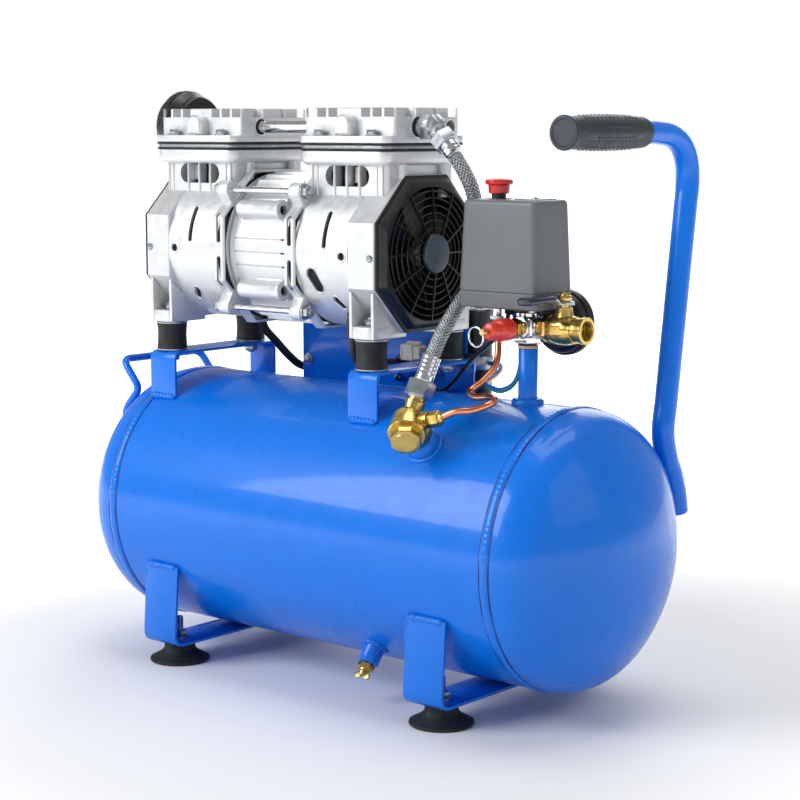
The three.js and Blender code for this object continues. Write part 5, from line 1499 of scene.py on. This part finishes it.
# ---- controls
@dataclass
class Controls(OnTank):
    """The manifold on the riser with the pressure switch, safety valve, ball valve and gauge."""

    @property
    def cross(self) -> Array:
        """The middle of the manifold's four ways."""
        e = Extent.of("manifold")
        return vec(self.tank.riser_x, e.low[1] + 15, e.high[2] - 17)

    def build(self) -> None:
        """Builds the controls."""
        self.build_manifold()
        self.build_switch()
        self.build_knob()
        self.build_safety()
        self.build_ball_valve()
        self.build_gauge()

    def build_manifold(self) -> None:
        """Builds the plated cross on its hexagonal foot, over the taped thread."""
        c = self.cross
        low = Extent.of("manifold").low[2]
        form = Form("manifold_cross")
        column = vec(c[0], c[1], 0)
        rows = [(low - 0.1, 0)]
        for k in range(3):
            rows += [(low + 0.7 + 1.5 * k, 8.7), (low + 1.3 + 1.5 * k, 8.1)]
        form.add(Finish.THREAD, revolve([*rows, (low + 6, 8.2), (low + 6, 0)], column, Z, 36))
        form.add(Finish.TAPE, turned([(low - 0.2, 9.3), (low + 1.2, 9.5), (low + 2.2, 8.9)], column, Z, 36))
        form.add(Finish.CHROME, prism(polygon(6, 24), column + Z * (low + 4.2), Z, 9, X, 1.4, 3, 1.4),
            prism(rounded(20, 20, 3.5, 4), column + Z * (low + 9), Z, 20, X, 2, 3),
            prism(rounded(22.5, 19, 4, 5), c - Y * 10.5, Y, 21, Z, 1.8, 3))
        for way in (Y, -Y, X):
            form.add(Finish.CHROME, turned([(6, 9.8), (12.2, 9.8), (13.4, 10.6), (14.4, 10.4),
                (14.9, 9.6)], c, way, 36))
        form.add(Finish.CHROME, turned([(c[2] + 8, 8.6), (c[2] + 17, 8.6)], column, Z, 36))
        form.add(Finish.BLACK, turned([(c[2] + 13, 13), (c[2] + 14, 13.6),
            (c[2] + 16.9, 13.6)], column, Z, 36))
        form.piece("frame", "manifold", slot="zinc_steel")

    def build_switch(self) -> None:
        """Builds the switch: a flat base, then a cover that narrows upward to a softly rounded top."""
        e = Extent.of("switch_base")
        form = Form("switch_base_box")
        foot = vec(e.mid[0], e.mid[1], e.low[2])
        form.add(Finish.GREY, prism(rounded(e.size[0], e.size[1], 5, 6), foot, Z, e.size[2], Y, 1.6, 3, 0.5))
        form.add(Finish.BLACK, prism(rounded(e.size[0] - 16, e.size[1] - 14, 4, 5), foot - Z * 0.9,
            Z, 1.2, Y, 0.2))
        for x in (-1, 1):
            form.bolt(foot + vec(x * 33, -18, 0.2), -Z, 7, 2.6)
        form.piece("frame", "switch_base", slot="grey_plastic")
        e = Extent.of("switch_cover")
        form = Form("switch_cover_shell")
        tall, shrink = e.size[2], 0.93
        rows = [(0.0, 0.35, 1.0), (0.4, 0.0, 1.0)]
        rows += [(t * (tall - 4.5), 0.0, 1 + (shrink - 1) * t) for t in np.linspace(0.1, 1, 8)]
        rows += [(tall - 4.5 + 4.5 * math.sin(a), 4.2 * (1 - math.cos(a)), shrink)
            for a in np.linspace(0.25, math.pi / 2, 6)]
        rings = []
        for z, off, scale in rows:
            shape = inset(rounded(e.size[0] * scale, e.size[1] * scale, 6.5, 9), off)
            rings.append(ring(shape, vec(e.mid[0], e.mid[1], e.low[2] + z), Z, Y))
        knob = Extent.of("switch_knob")
        hole = rod(12.8, vec(knob.mid[0], knob.mid[1], e.high[2] - 3.2),
            vec(knob.mid[0], knob.mid[1], e.high[2] + 3), 48)
        form.add(Finish.COVER, carve(loft(rings), [hole]),
            turned([(-3, 8.6), (0.4, 8.3), (0.6, 7.6)], vec(knob.mid[0], knob.mid[1], e.high[2]), Z, 40))
        lid = vec(e.mid[0] + 22, e.mid[1], e.high[2] - 0.4)
        form.add(Finish.COVER, prism(rounded(26, 34, 4, 5), lid, Z, 1.2, Y, 0.01, 1, 0.6))
        form.add(Finish.ZINC, turned([(0, 3.4), (1.4, 3.0), (2, 1.6)], lid + Z * 0.9, Z, 24))
        form.piece("frame", "switch_cover", slot="grey_plastic", crease=24)

    def build_knob(self) -> None:
        """Builds the red push knob: a round flange over a barrel, on a black neck."""
        e = Extent.of("switch_knob")
        at = vec(e.mid[0], e.mid[1], e.high[2])
        form = Form("switch_knob_cap")
        form.add(Finish.RED, turned([(-13.2, 8.6), (-12.6, 9.5), (-6, 9.8), (-5.2, 10.6), (-4.8, 11.6),
            (-4, 12.1), (-1.4, 12.1), (-0.5, 11.6), (0, 10.4), (0, 8.4), (-0.7, 7.8)], at, Z, 56))
        form.ribbed(Finish.RED, at, Z, 30, 12, 0.5, (-4.3, -1.1))
        form.add(Finish.BLACK, rod(6.6, at - Z * 24, at - Z * 12.8, 32, 0.4))
        form.piece("knob", "switch_knob", slot="red_plastic")

    def build_safety(self) -> None:
        """Builds the safety valve: a brass hex, a two-step red cap and its pull ring."""
        c = self.cross
        start = c - Y * 15.2
        form = Form("safety_valve_cap")
        form.add(Finish.BRASS, hexagon(16.5, start - Y * 1.5, -Y, 9.5, 0.8, 1.2),
            turned([(0, 7.2), (15.5, 7.4)], start, -Y, 32))
        form.add(Finish.RED_BRIGHT, turned([(14, 8.8), (15, 10), (16.4, 10.2), (17.2, 9.8), (18, 10.2),
            (30, 10.2), (32.4, 9.6), (34.6, 8.2), (35, 7.9), (42.6, 7.7), (45, 6.8),
            (45.8, 5.4)], start, -Y, 52))
        form.ribbed(Finish.RED_BRIGHT, start, -Y, 20, 10, 0.5, (19, 29))
        form.piece("frame", "safety_valve", slot="red_plastic")
        form = Form("safety_pin_ring")
        tip = start - Y * 45.6
        form.add(Finish.BRASS, turned([(-9, 2.2), (4, 2.2), (5, 3.2), (8, 3.2), (9, 2.4)], tip, -Y, 24))
        e = Extent.of("safety_pin")
        centre = vec(e.low[0] + 9.9, tip[1] - 7, e.low[2] + 9.9)
        form.add(Finish.CHROME, hoop(centre, unit(vec(0.12, 1, 0.1)), 9.0, 0.85, 56, 10))
        form.piece("pull_pin", "safety_pin", slot="brass")

    def build_ball_valve(self) -> None:
        """Builds the brass ball valve with its threaded mouth, and the lever that turns with the ball."""
        c = self.cross
        e = Extent.of("valve_ball")
        at = vec(e.mid[0], c[1], c[2])
        form = Form("ball_valve_casting")
        form.add(Finish.BRASS, turned([(-25, 9), (-21, 9.4)], at, X, 36),
            hexagon(22, at - X * 22, X, 8, 1, 1.4))
        body = [(-16, 0), (-16, 9.6), (-13.5, 10.5), (-11, 12.6), (-6, 13.8), (0, 14.1), (6, 13.8),
            (10, 12.6), (13, 12.2), (13, 0)]
        form.add(Finish.BRASS, revolve(body, at, X, 48))
        mouth = turned([(10, 11.6), (13, 11.2), (19, 11.6), (22, 12.4), (24.4, 12.6), (25, 12.1)], at, X, 48)
        bore = rod(9.4, at + X * 13, at + X * 27, 40)
        form.add(Finish.BRASS, carve(mouth, [bore]))
        for k in range(6):
            form.add(Finish.BRASS, hoop(at + X * (15.2 + 1.7 * k), X, 9.5, 0.55, 40, 8))
        # painted shade: a dark disc inside the valve's mouth
        form.add(Finish.SHADE_IN_HOLLOWS, disc(9.4, 0.5, at + X * 13.2, X, 32))
        form.add(Finish.BRASS, hoop(at + X * 13.9, X, 7.6, 1.3, 36, 10),
            turned([(8, 9), (13, 8.2), (16, 7.6), (20, 7.4)], at, Z, 32))
        for way in (-1, 1):
            form.add(Finish.BRASS, prism(rounded(12, 9, 1.5, 3), at + vec(-1, way * 12.4, 0), Y * way, 1.6,
                Z, 0.01, 1, 0.7))
        form.piece("frame", "ball_valve_body", slot="brass")
        form = Form("valve_stem_nut")
        form.add(Finish.BRASS, rod(4, at + Z * 8, at + Z * 30, 24),
            hexagon(11.5, at + Z * 25.6, Z, 5.2, 0.5, 0.6),
            revolve([(30.6, 0), (30.6, 4.6), (32.4, 4.2), (33.6, 3), (34, 0)], at, Z, 24))
        form.piece("lever", "valve_ball", slot="brass")
        self.build_lever(at)

    def build_lever(self, at: Array) -> None:
        """Builds the plated lever: a flat hub, a step up and an arm in a vinyl sleeve."""
        form = Form("valve_lever_arm")
        z = 22.2
        form.add(Finish.ZINC, turned([(z, 8.9), (z + 0.4, 9.2), (z + 2.6, 9.2), (z + 3, 8.9)], at, Z, 40))
        line = np.array([vec(0, -4, z + 1.5), vec(0, -13, z + 1.5), vec(0, -15.5, z + 2.6),
            vec(0, -17.5, z + 5.4), vec(0, -20, z + 6.4), vec(0, -58, z + 6.4)]) + at
        form.add(Finish.ZINC, soften(sweep(rounded(13, 2.4, 0.9, 3), line, up=Z), 0.2, 60))
        sleeve = [rounded(16.4, 6.6, 3.2, 7), rounded(17.6, 7.4, 3.6, 7), rounded(17.6, 7.4, 3.6, 7),
            rounded(16.8, 6.8, 3.3, 7), rounded(12, 4, 1.9, 7)]
        steps = [(-24, 0), (-26, 1), (-54, 2), (-59.4, 3), (-61, 4)]
        rings = [ring(sleeve[i], at + vec(0, y, z + 6.4), -Y, Z) for y, i in steps]
        form.add(Finish.SLEEVE, loft(rings))
        form.piece("lever", "valve_lever", slot="zinc_steel")

    def build_gauge(self) -> None:
        """Builds the gauge: a stepped black case, a printed dial, a clear lens and the needle."""
        c = self.cross
        e = Extent.of("gauge_case")
        face = e.high[1]
        at = vec(c[0], 0, c[2])
        form = Form("gauge_case_can")
        y0 = e.low[1] + 0.1
        form.add(Finish.BRASS, hexagon(14, at + Y * y0, Y, 9, 0.6, 0.8),
            rod(6, at + Y * (y0 + 8), at + Y * (face - 19), 28))
        rows = [(face - 22, 0), (face - 22, 20), (face - 20.6, 22), (face - 17, 23), (face - 15.5, 26.5),
            (face - 13, 28.4), (face - 9, 28.8), (face - 8.4, 30.4), (face - 7.4, 31), (face - 1.4, 31),
            (face - 0.3, 30.4), (face, 29.4), (face - 0.2, 28.2), (face - 4.6, 27.8), (face - 4.6, 0)]
        form.add(Finish.BLACK, revolve(rows, at, Y, 72))
        form.piece("frame", "gauge_case", slot="black_plastic")
        self.build_dial(at + Y * (face - 4.6))
        form = Form("gauge_needle_pointer")
        way = self.needle_way(at, Extent.of("gauge_needle"))
        side = np.cross(way, Y)
        origin = at + Y * (face - 2.9)
        outline = [(-6, 1.6), (-6, -1.6), (22, -0.35), (22, 0.35)]
        low = np.array([origin + way * a + side * b for a, b in outline])
        form.add(Finish.PRINT, loft([low, low + Y * 0.6]))
        form.add(Finish.ZINC, revolve([(-1.6, 0), (-1.6, 1.1), (-0.6, 2.8), (0.8, 2.8), (1.3, 2),
            (1.4, 0)], origin, Y, 28))
        form.piece("needle", "gauge_needle", slot="zinc_steel")

    def needle_way(self, at: Array, middle: Extent) -> Array:
        """The way the needle points: from its axis towards the middle of its box."""
        off = middle.mid - at
        return unit(vec(math.copysign(1, off[0]), 0, math.copysign(1, off[2])))

    def build_dial(self, at: Array) -> None:
        """Builds the dial's plate, ticks and figures, and the lens over them."""
        form = Form("gauge_dial_plate")
        form.add(Finish.WHITE, disc(27.6, 0.5, at, Y, 64))
        for i in range(51):
            turn = math.radians(225 - 270 * i / 50)
            out = vec(-math.cos(turn), 0, math.sin(turn))
            long, half = (4.2, 0.45) if i % 10 == 0 else ((3.2, 0.28) if i % 5 == 0 else (2.0, 0.18))
            side = np.cross(out, Y)
            corners = ((25.6, half), (25.6, -half), (25.6 - long, -half), (25.6 - long, half))
            flat = np.array([at + Y * 0.45 + out * r + side * s for r, s in corners])
            form.add(Finish.PRINT, loft([flat, flat + Y * 0.12]))
        form.piece("frame", slot="grey_plastic")
        for i in range(6):
            turn = math.radians(225 - 54 * i)
            out = vec(-math.cos(turn), 0, math.sin(turn))
            self.figure(str(2 * i), at + Y * 0.55 + out * 17.5, 5.2)
        form = Form("gauge_lens_disc")
        form.add(Finish.LENS, revolve([(3.4, 0), (3.4, 27.7), (4.2, 27.7), (4.6, 20), (4.8, 0)], at, Y, 64))
        form.piece("frame")

    def figure(self, text: str, at: Array, height: float) -> None:
        """Writes a figure on the dial, read from behind the object, as a flat mesh."""
        data = bpy.data.curves.new(f"figure_{text}", "FONT")
        data.body, data.size, data.extrude = text, height / 1000, 0.00005
        data.align_x, data.align_y = "CENTER", "CENTER"
        source = scene_object(f"figure_source_{text}", data)
        mesh = bpy.data.meshes.new_from_object(source.evaluated_get(bpy.context.evaluated_depsgraph_get()))
        bpy.data.objects.remove(source)
        bpy.data.curves.remove(data)
        flat = np.array([v.co[:] for v in mesh.vertices])
        placed = at / 1000 + flat[:, :1] * -X + flat[:, 1:2] * Z + flat[:, 2:] * Y
        mesh.vertices.foreach_set("co", placed.astype(np.float32).ravel())
        mesh.materials.clear()
        mesh.materials.append(material_of(Finish.PRINT))
        mesh.name = f"gauge_figure_{text}"
        mesh.update()
        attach(scene_object(f"gauge_figure_{text}", mesh), "frame")


# ---- handles and drain
@dataclass
class Handles(OnTank):
    """The long push handle with its rubber grip, and the small carrying rod at the other end."""

    def build(self) -> None:
        """Builds the handle, grip and rod."""
        self.build_tube()
        self.build_grip()
        self.build_rod()

    def handle_path(self) -> Array:
        """The tube's middle line: it follows the tank round, leans back as it rises, then bends over."""
        x, top = Extent.of("handle_tube").mid[0], Extent.of("handle_grip").mid[2]
        off = 136.5
        points = [self.place(x, off * math.cos(math.radians(a)), 154 + off * math.sin(math.radians(a)))
            for a in (8, 16, 24, 32)]

        def rise(z: float) -> Array:
            return self.place(x, 107 + 37 * (z - 240) / 247, z)

        points += [rise(z) for z in (252, 280, 330, 400, 462)]
        corner, over = self.place(x, 148, top), self.place(x, 87, top)
        for t in np.linspace(0, 1, 5):
            points.append((1 - t) ** 2 * rise(478) + 2 * t * (1 - t) * corner + t**2 * over)
        points += self.places((x, 65, top), (x, 0, top), (x, -52, top))
        return curve(points, 10)

    def build_tube(self) -> None:
        """Builds the tube with its plugged foot and the weld that holds it to the dished end."""
        path = self.handle_path()
        form = Form("handle_tube_bend").add(Finish.ENAMEL, tube(10.9, path, 40))
        start, way = path[0], unit(path[0] - path[1])
        form.add(Finish.ENAMEL, revolve([(-1, 0), (-1, 10.6), (0.8, 10.2), (1.4, 9), (1.6, 0)],
            start, way, 40))
        line = []
        for p in path[4:26]:
            off = p - self.tank.axis
            line.append(p - unit(vec(0, off[1], off[2])) * 9.8 - X * 4.6)
        form.add(Finish.ENAMEL, weld(line, 7, 4.2, vec(-1, 0, 0)))
        form.piece("frame", "handle_tube", slot="tank_blue", crease=50)

    def build_grip(self) -> None:
        """Builds the grip: a faint barrel with raised panels, small pips and a rimmed end cap."""
        e = Extent.of("handle_grip")
        at = vec(e.mid[0], e.high[1], e.mid[2])
        long = e.size[1]
        form = Form("handle_grip_sleeve")
        rows = [(0, 0), (0, 12), (0.8, 13.4), (3, 14)]
        rows += [(3 + (long - 8) * t, 14 + 1.5 * math.sin(math.pi * t)) for t in np.linspace(0.05, 1, 24)]
        rows += [(long - 4, 14.2), (long - 2.6, 15.2), (long - 1.2, 15.2), (long - 0.2, 14.2), (long, 12.4),
            (long - 0.9, 11.4), (long - 0.9, 0)]
        form.add(Finish.GRIP, revolve(rows, at, -Y, 64))
        pip = [(-0.6, 0), (-0.6, 1.5), (0.25, 1.3), (0.55, 0.7), (0.6, 0)]
        for out in spokes(12, X, Z):
            for k in range(14):
                t = 0.16 + 0.68 * k / 13
                foot = at - Y * (3 + (long - 8) * t) + out * (14 + 1.5 * math.sin(math.pi * t))
                form.add(Finish.GRIP, revolve(pip, foot, out, 8))
        for way in (-1, 1):
            shape = np.array([(-28, -4.6), (28, -4.6), (22, 4.6), (-22, 4.6)])
            middle = at - Y * long / 2
            low = np.array([middle + Y * a + Z * b + X * way * (math.sqrt(15.2**2 - b**2)) for a, b in shape])
            form.add(Finish.GRIP, tube(0.7, low, 8, loop=True))
        form.piece("frame", "handle_grip", slot="rubber")

    def build_rod(self) -> None:
        """Builds the bent rod welded to the left end."""
        e = Extent.of("carry_rod")
        top = e.high[2] - 4

        def leg(side: int) -> list[Array]:
            y = side * 56
            return self.places((-300, y, top), (-275, y, top - 29), (-297, y, top - 53),
                (-297, y, e.low[2] + 1))

        path = bent([*leg(-1)[::-1], *leg(1)], [9, 9, 11, 11, 9, 9], 8)
        form = Form("carry_rod_bend").add(Finish.ENAMEL, tube(4, path, 24))
        for side in (-1, 1):
            foot = self.place(-297, side * 56, 0)
            line = [foot + vec(2.6, 0, z) for z in np.linspace(e.low[2] + 2, e.low[2] + 20, 8)]
            form.add(Finish.ENAMEL, weld(line, 8, 3.2, vec(0, side, 0)))
        form.piece("frame", "carry_rod", slot="tank_blue")


@dataclass
class Drain(OnTank):
    """The drain valve under the tank: a brass hex and the wing screw in it."""

    def build(self) -> None:
        """Builds both pieces along the boss's direction."""
        x, degrees = self.tank.drain_at
        foot = self.tank.around(x, 148.3, degrees)
        way = self.tank.outward(x, degrees)
        form = Form("drain_valve_hex")
        form.add(Finish.BRASS, hexagon(14, foot, way, 6.4, 0.8, 1.0),
            turned([(5, 6), (8, 5.6), (8.2, 5)], foot, way, 28))
        form.piece("frame", "drain_valve", slot="brass")
        form = Form("drain_screw_wing")
        form.add(Finish.BRASS, turned([(-3, 2.9), (8, 2.9), (8.3, 4.4), (11, 4.6), (12.6, 4),
            (13, 2.6)], foot, way, 28))
        middle = foot + way * 12.2
        first, _ = across(way)
        for side in (-1, 1):
            a = np.linspace(0, 2 * math.pi, 20, endpoint=False)
            wing = np.stack([3.6 * np.cos(a) + side * 5.2, 2.9 * np.sin(a)], 1)
            second = np.cross(way, first)
            low = middle + wing[:, :1] * first + wing[:, 1:] * way - second * 1.2
            form.add(Finish.BRASS, soften(loft([low, low + second * 2.4]), 0.4, 40))
        form.piece("wing_screw", "drain_screw", slot="brass")


# ---- electrics
@dataclass
class Electrics(OnTank):
    """The control box behind the pump, the capacitor and the wiring."""

    def build(self) -> None:
        """Builds the electrical pieces."""
        self.build_box()
        self.build_capacitor()
        self.build_cables()
        self.build_harness()

    def build_box(self) -> None:
        """Builds the folded box with its lid seam and screws, and the plate beside it."""
        e = Extent.of("control_box")
        y0, y1 = e.low[1], e.high[1]
        form = Form("control_box_shell")
        form.add(Finish.ENAMEL, block(vec(-168, y0, 271), vec(38, y1 - 1.2, e.high[2]), 2.0),
            block(vec(-166, y1 - 1.6, 273), vec(36, y1, e.high[2] - 2), 0.7),
            block(vec(36, y0, 258), vec(53, y0 + 2, e.high[2]), 0.6),
            block(vec(36, y0, 258), vec(62, y0 + 2, 309), 0.6),
            block(vec(-167, y0, 259), vec(38, y0 + 2, 273), 0.6))
        for x in (-158, -65, 28):
            for z in (279, e.high[2] - 9):
                form.add(Finish.ZINC, revolve([(0, 0), (0, 4), (1, 3.8), (2.2, 2.4), (2.4, 0)],
                    vec(x, y1 - 0.2, z), Y, 24))
                # painted shade in each screw's cross slot
                form.add(Finish.SHADE_IN_HOLLOWS, block(vec(x - 2.4, y1 + 1.8, z - 0.3),
                    vec(x + 2.4, y1 + 2.3, z + 0.3), 0.1),
                    block(vec(x - 0.3, y1 + 1.8, z - 2.4), vec(x + 0.3, y1 + 2.3, z + 2.4), 0.1))
        for x, z in ((-159, 292), (57, 300)):
            form.bolt(vec(x, y0 + 0.2, z), -Y, 7, 3.4, 6)
        line = [vec(x, y0 - 0.6, 259.5) for x in np.linspace(-160, 50, 30)]
        form.add(Finish.ENAMEL, weld(line, 5, 2.2, vec(0, -0.5, 1)))
        form.add(Finish.GASKET, hoop(self.place(-168.2, 91, 282), X, 5.6, 1.4, 32, 10))
        form.piece("frame", "control_box", slot="tank_blue")

    def build_capacitor(self) -> None:
        """Builds the can, its terminal cap and the strap that holds it."""
        e = Extent.of("capacitor")
        at = vec(54, self.tank.axis[1] + 96.5, 0)
        form = Form("capacitor_can")
        form.add(Finish.BLACK, turned([(e.low[2] + 4, 12.6), (e.low[2] + 6, 14), (e.high[2] - 6, 14),
            (e.high[2] - 4.6, 14.3), (e.high[2] - 3, 14.2), (e.high[2] - 1.4, 12.6)], at, Z, 48))
        for y in (-5, 5):
            form.add(Finish.BRASS, block(at + vec(-0.5, y - 3, e.high[2] - 2),
                at + vec(0.5, y + 3, e.high[2]), 0.2))
        form.add(Finish.ZINC, revolve([(297, 14.1), (297, 15.1), (297.6, 15.4), (309.4, 15.4), (310, 15.1),
            (310, 14.1)], at, Z, 48, loop=True),
            block(at + vec(2, -23.6, 296), at + vec(14, -21.8, 314), 0.5),
            block(at + vec(1.4, -23, 298), at + vec(3, -13.6, 309), 0.5))
        form.bolt(at + vec(9, -23.4, 305), -Y, 6.5, 2.6, 4.4)
        form.piece("frame", "capacitor", slot="black_plastic")

    def gland(self, form: Form, x: float, y: float, low: float) -> None:
        """Adds a ribbed cable gland that hangs under a crankcase drum."""
        at = self.place(x, y, 0)
        drum = 416.5 - math.sqrt(74**2 - y**2)
        rows = [(low, 0), (low, 5)]
        z = low
        while z < drum - 4:
            rows += [(z + 0.3, 6.6), (z + 2.4, 6.6), (z + 2.7, 5.4), (z + 3.6, 5.4)]
            z += 3.6
        form.add(Finish.BLACK, revolve([*rows, (drum + 3, 6.4), (drum + 3, 0)], at, Z, 28))

    def build_cables(self) -> None:
        """Builds the motor's cable with its plug, and the cable from the other crankcase."""
        form = Form("motor_cable_ends")
        self.gland(form, 13, -44, 336.5)
        path = self.path((13, -44, 340.5), (12, -43, 326), (10, -36, 315), (4, -18, 308), (-8, 12, 304),
            (-12, 45, 302), (-12, 69, 300), (-12, 78.7, 300))
        Form("motor_cable_sheath").add(Finish.SHEATH, tube(4.3, path, 18)).cord(path, 4.3,
            "motor_cable", "cable")
        c = self.place(4, 56, 313)
        form.add(Finish.NYLON, block(c - [11, 8, 8], c + [5, 8, 8], 1.6),
            block(c + [4.4, -6.6, -6.4], c + [13, 6.6, 6.4], 1.2),
            block(c + [-7, -2.6, 7.4], c + [9, 2.6, 10.6], 0.9),
            block(c + [-9.5, -8.8, -5], c + [-7.5, -7.4, 5], 0.5))
        for k, finish in enumerate((Finish.BLUE_WIRE, Finish.WHITE, Finish.SHEATH)):
            y = 51 + 4.5 * k
            self.wire(f"motor_cable_lead_{k}", finish, "motor_cable", self.path(
                (-6, y, 311), (-13, y, 308), (-19, 54 + 3 * k, 299), (-24, 62 + 2 * k, 291),
                    (-30, 70, 286 - 2 * k), (-34, 78.6, 286 - 3 * k)))
            self.wire(f"motor_cable_tail_{k}", finish, "motor_cable", self.path(
                (16, y, 312), (22, y, 309), (26, 60 + 2 * k, 300), (27, 70, 292), (26 - 3 * k, 78.7, 289)))
        form.piece("frame", "motor_cable", slot="cable")
        form = Form("rear_cable_ends")
        self.gland(form, -192, 42, 336.5)
        path = self.path((-192, 42, 340.5), (-193, 48, 325), (-189, 61, 310), (-183, 73, 295),
            (-179, 84, 285), (-176, 90, 282), (-168.9, 91, 282))
        Form("rear_cable_sheath").add(Finish.SHEATH, tube(4.3, path, 18)).cord(path, 4.3,
            "rear_cable", "cable")
        form.piece("frame", "rear_cable", slot="cable")

    def wire(self, name: str, finish: Finish, node: str, path: Array) -> None:
        """Adds one insulated wire along a path."""
        Form(name).add(finish, tube(1.5, path, 12)).cord(path, 1.5, node, "cable")

    def build_harness(self) -> None:
        """Builds the coloured wires from the box and the capacitor up to the switch's grommet."""
        form = Form("wiring_harness_grommet")
        e = Extent.of("wiring_harness")
        top = e.high[2]
        form.add(Finish.RUBBER, turned([(top - 8.5, 4.4), (top - 7, 6), (top - 4.4, 6), (top - 3.6, 5),
            (top - 2.6, 5), (top - 2, 6.8), (top, 6.8)], self.place(158, 12, 0), Z, 36))
        first = np.array([(8, 78.1, 282), (8, 73, 281), (14, 69, 275), (24, 67, 274), (40, 63, 279),
            (61, 54, 292), (91, 38, 313), (122, 24, 331), (148, 15, 350), (156, 12, 367.5)])
        second = np.array([(160, 12, 367.5), (170, 8, 345), (172, 8, 318), (163, 10, 299), (146, 14, 291),
            (128, 22, 291), (106, 44, 290), (92, 68, 292), (88, 88, 299), (80, 96, 303), (69.5, 96, 303)])
        for line, finishes in ((first, (Finish.GREEN_WIRE, Finish.SHEATH)),
                (second, (Finish.YELLOW_WIRE, Finish.BLUE_WIRE, Finish.GREEN_WIRE))):
            for k, finish in enumerate(finishes):
                turn = 2 * math.pi * k / len(finishes)
                spread = np.array([0.6, *[1.0] * (len(line) - 2), 0.6])[:, None]
                off = spread * np.array([0.4, 1.3 * math.cos(turn), 1.3 * math.sin(turn)]) * 1.15
                self.wire(f"wiring_harness_{finish.name.lower()}_{len(line)}", finish, "wiring_harness",
                    curve(self.places(*(line + off)), 8))
        form.piece("frame", "wiring_harness", slot="cable")


def main() -> None:
    """Builds the studio and every sub-assembly in order."""
    logging.basicConfig(level=logging.INFO, format="%(message)s")
    Studio().build()
    tank = Tank()
    for assembly in (tank, Legs(tank), Saddles(tank), Pump(), AirLine(tank), Controls(tank), Handles(tank),
            Drain(tank), Electrics(tank)):
        assembly.build()
        log.info("built %s", type(assembly).__name__)


if __name__ == "__main__":
    main()
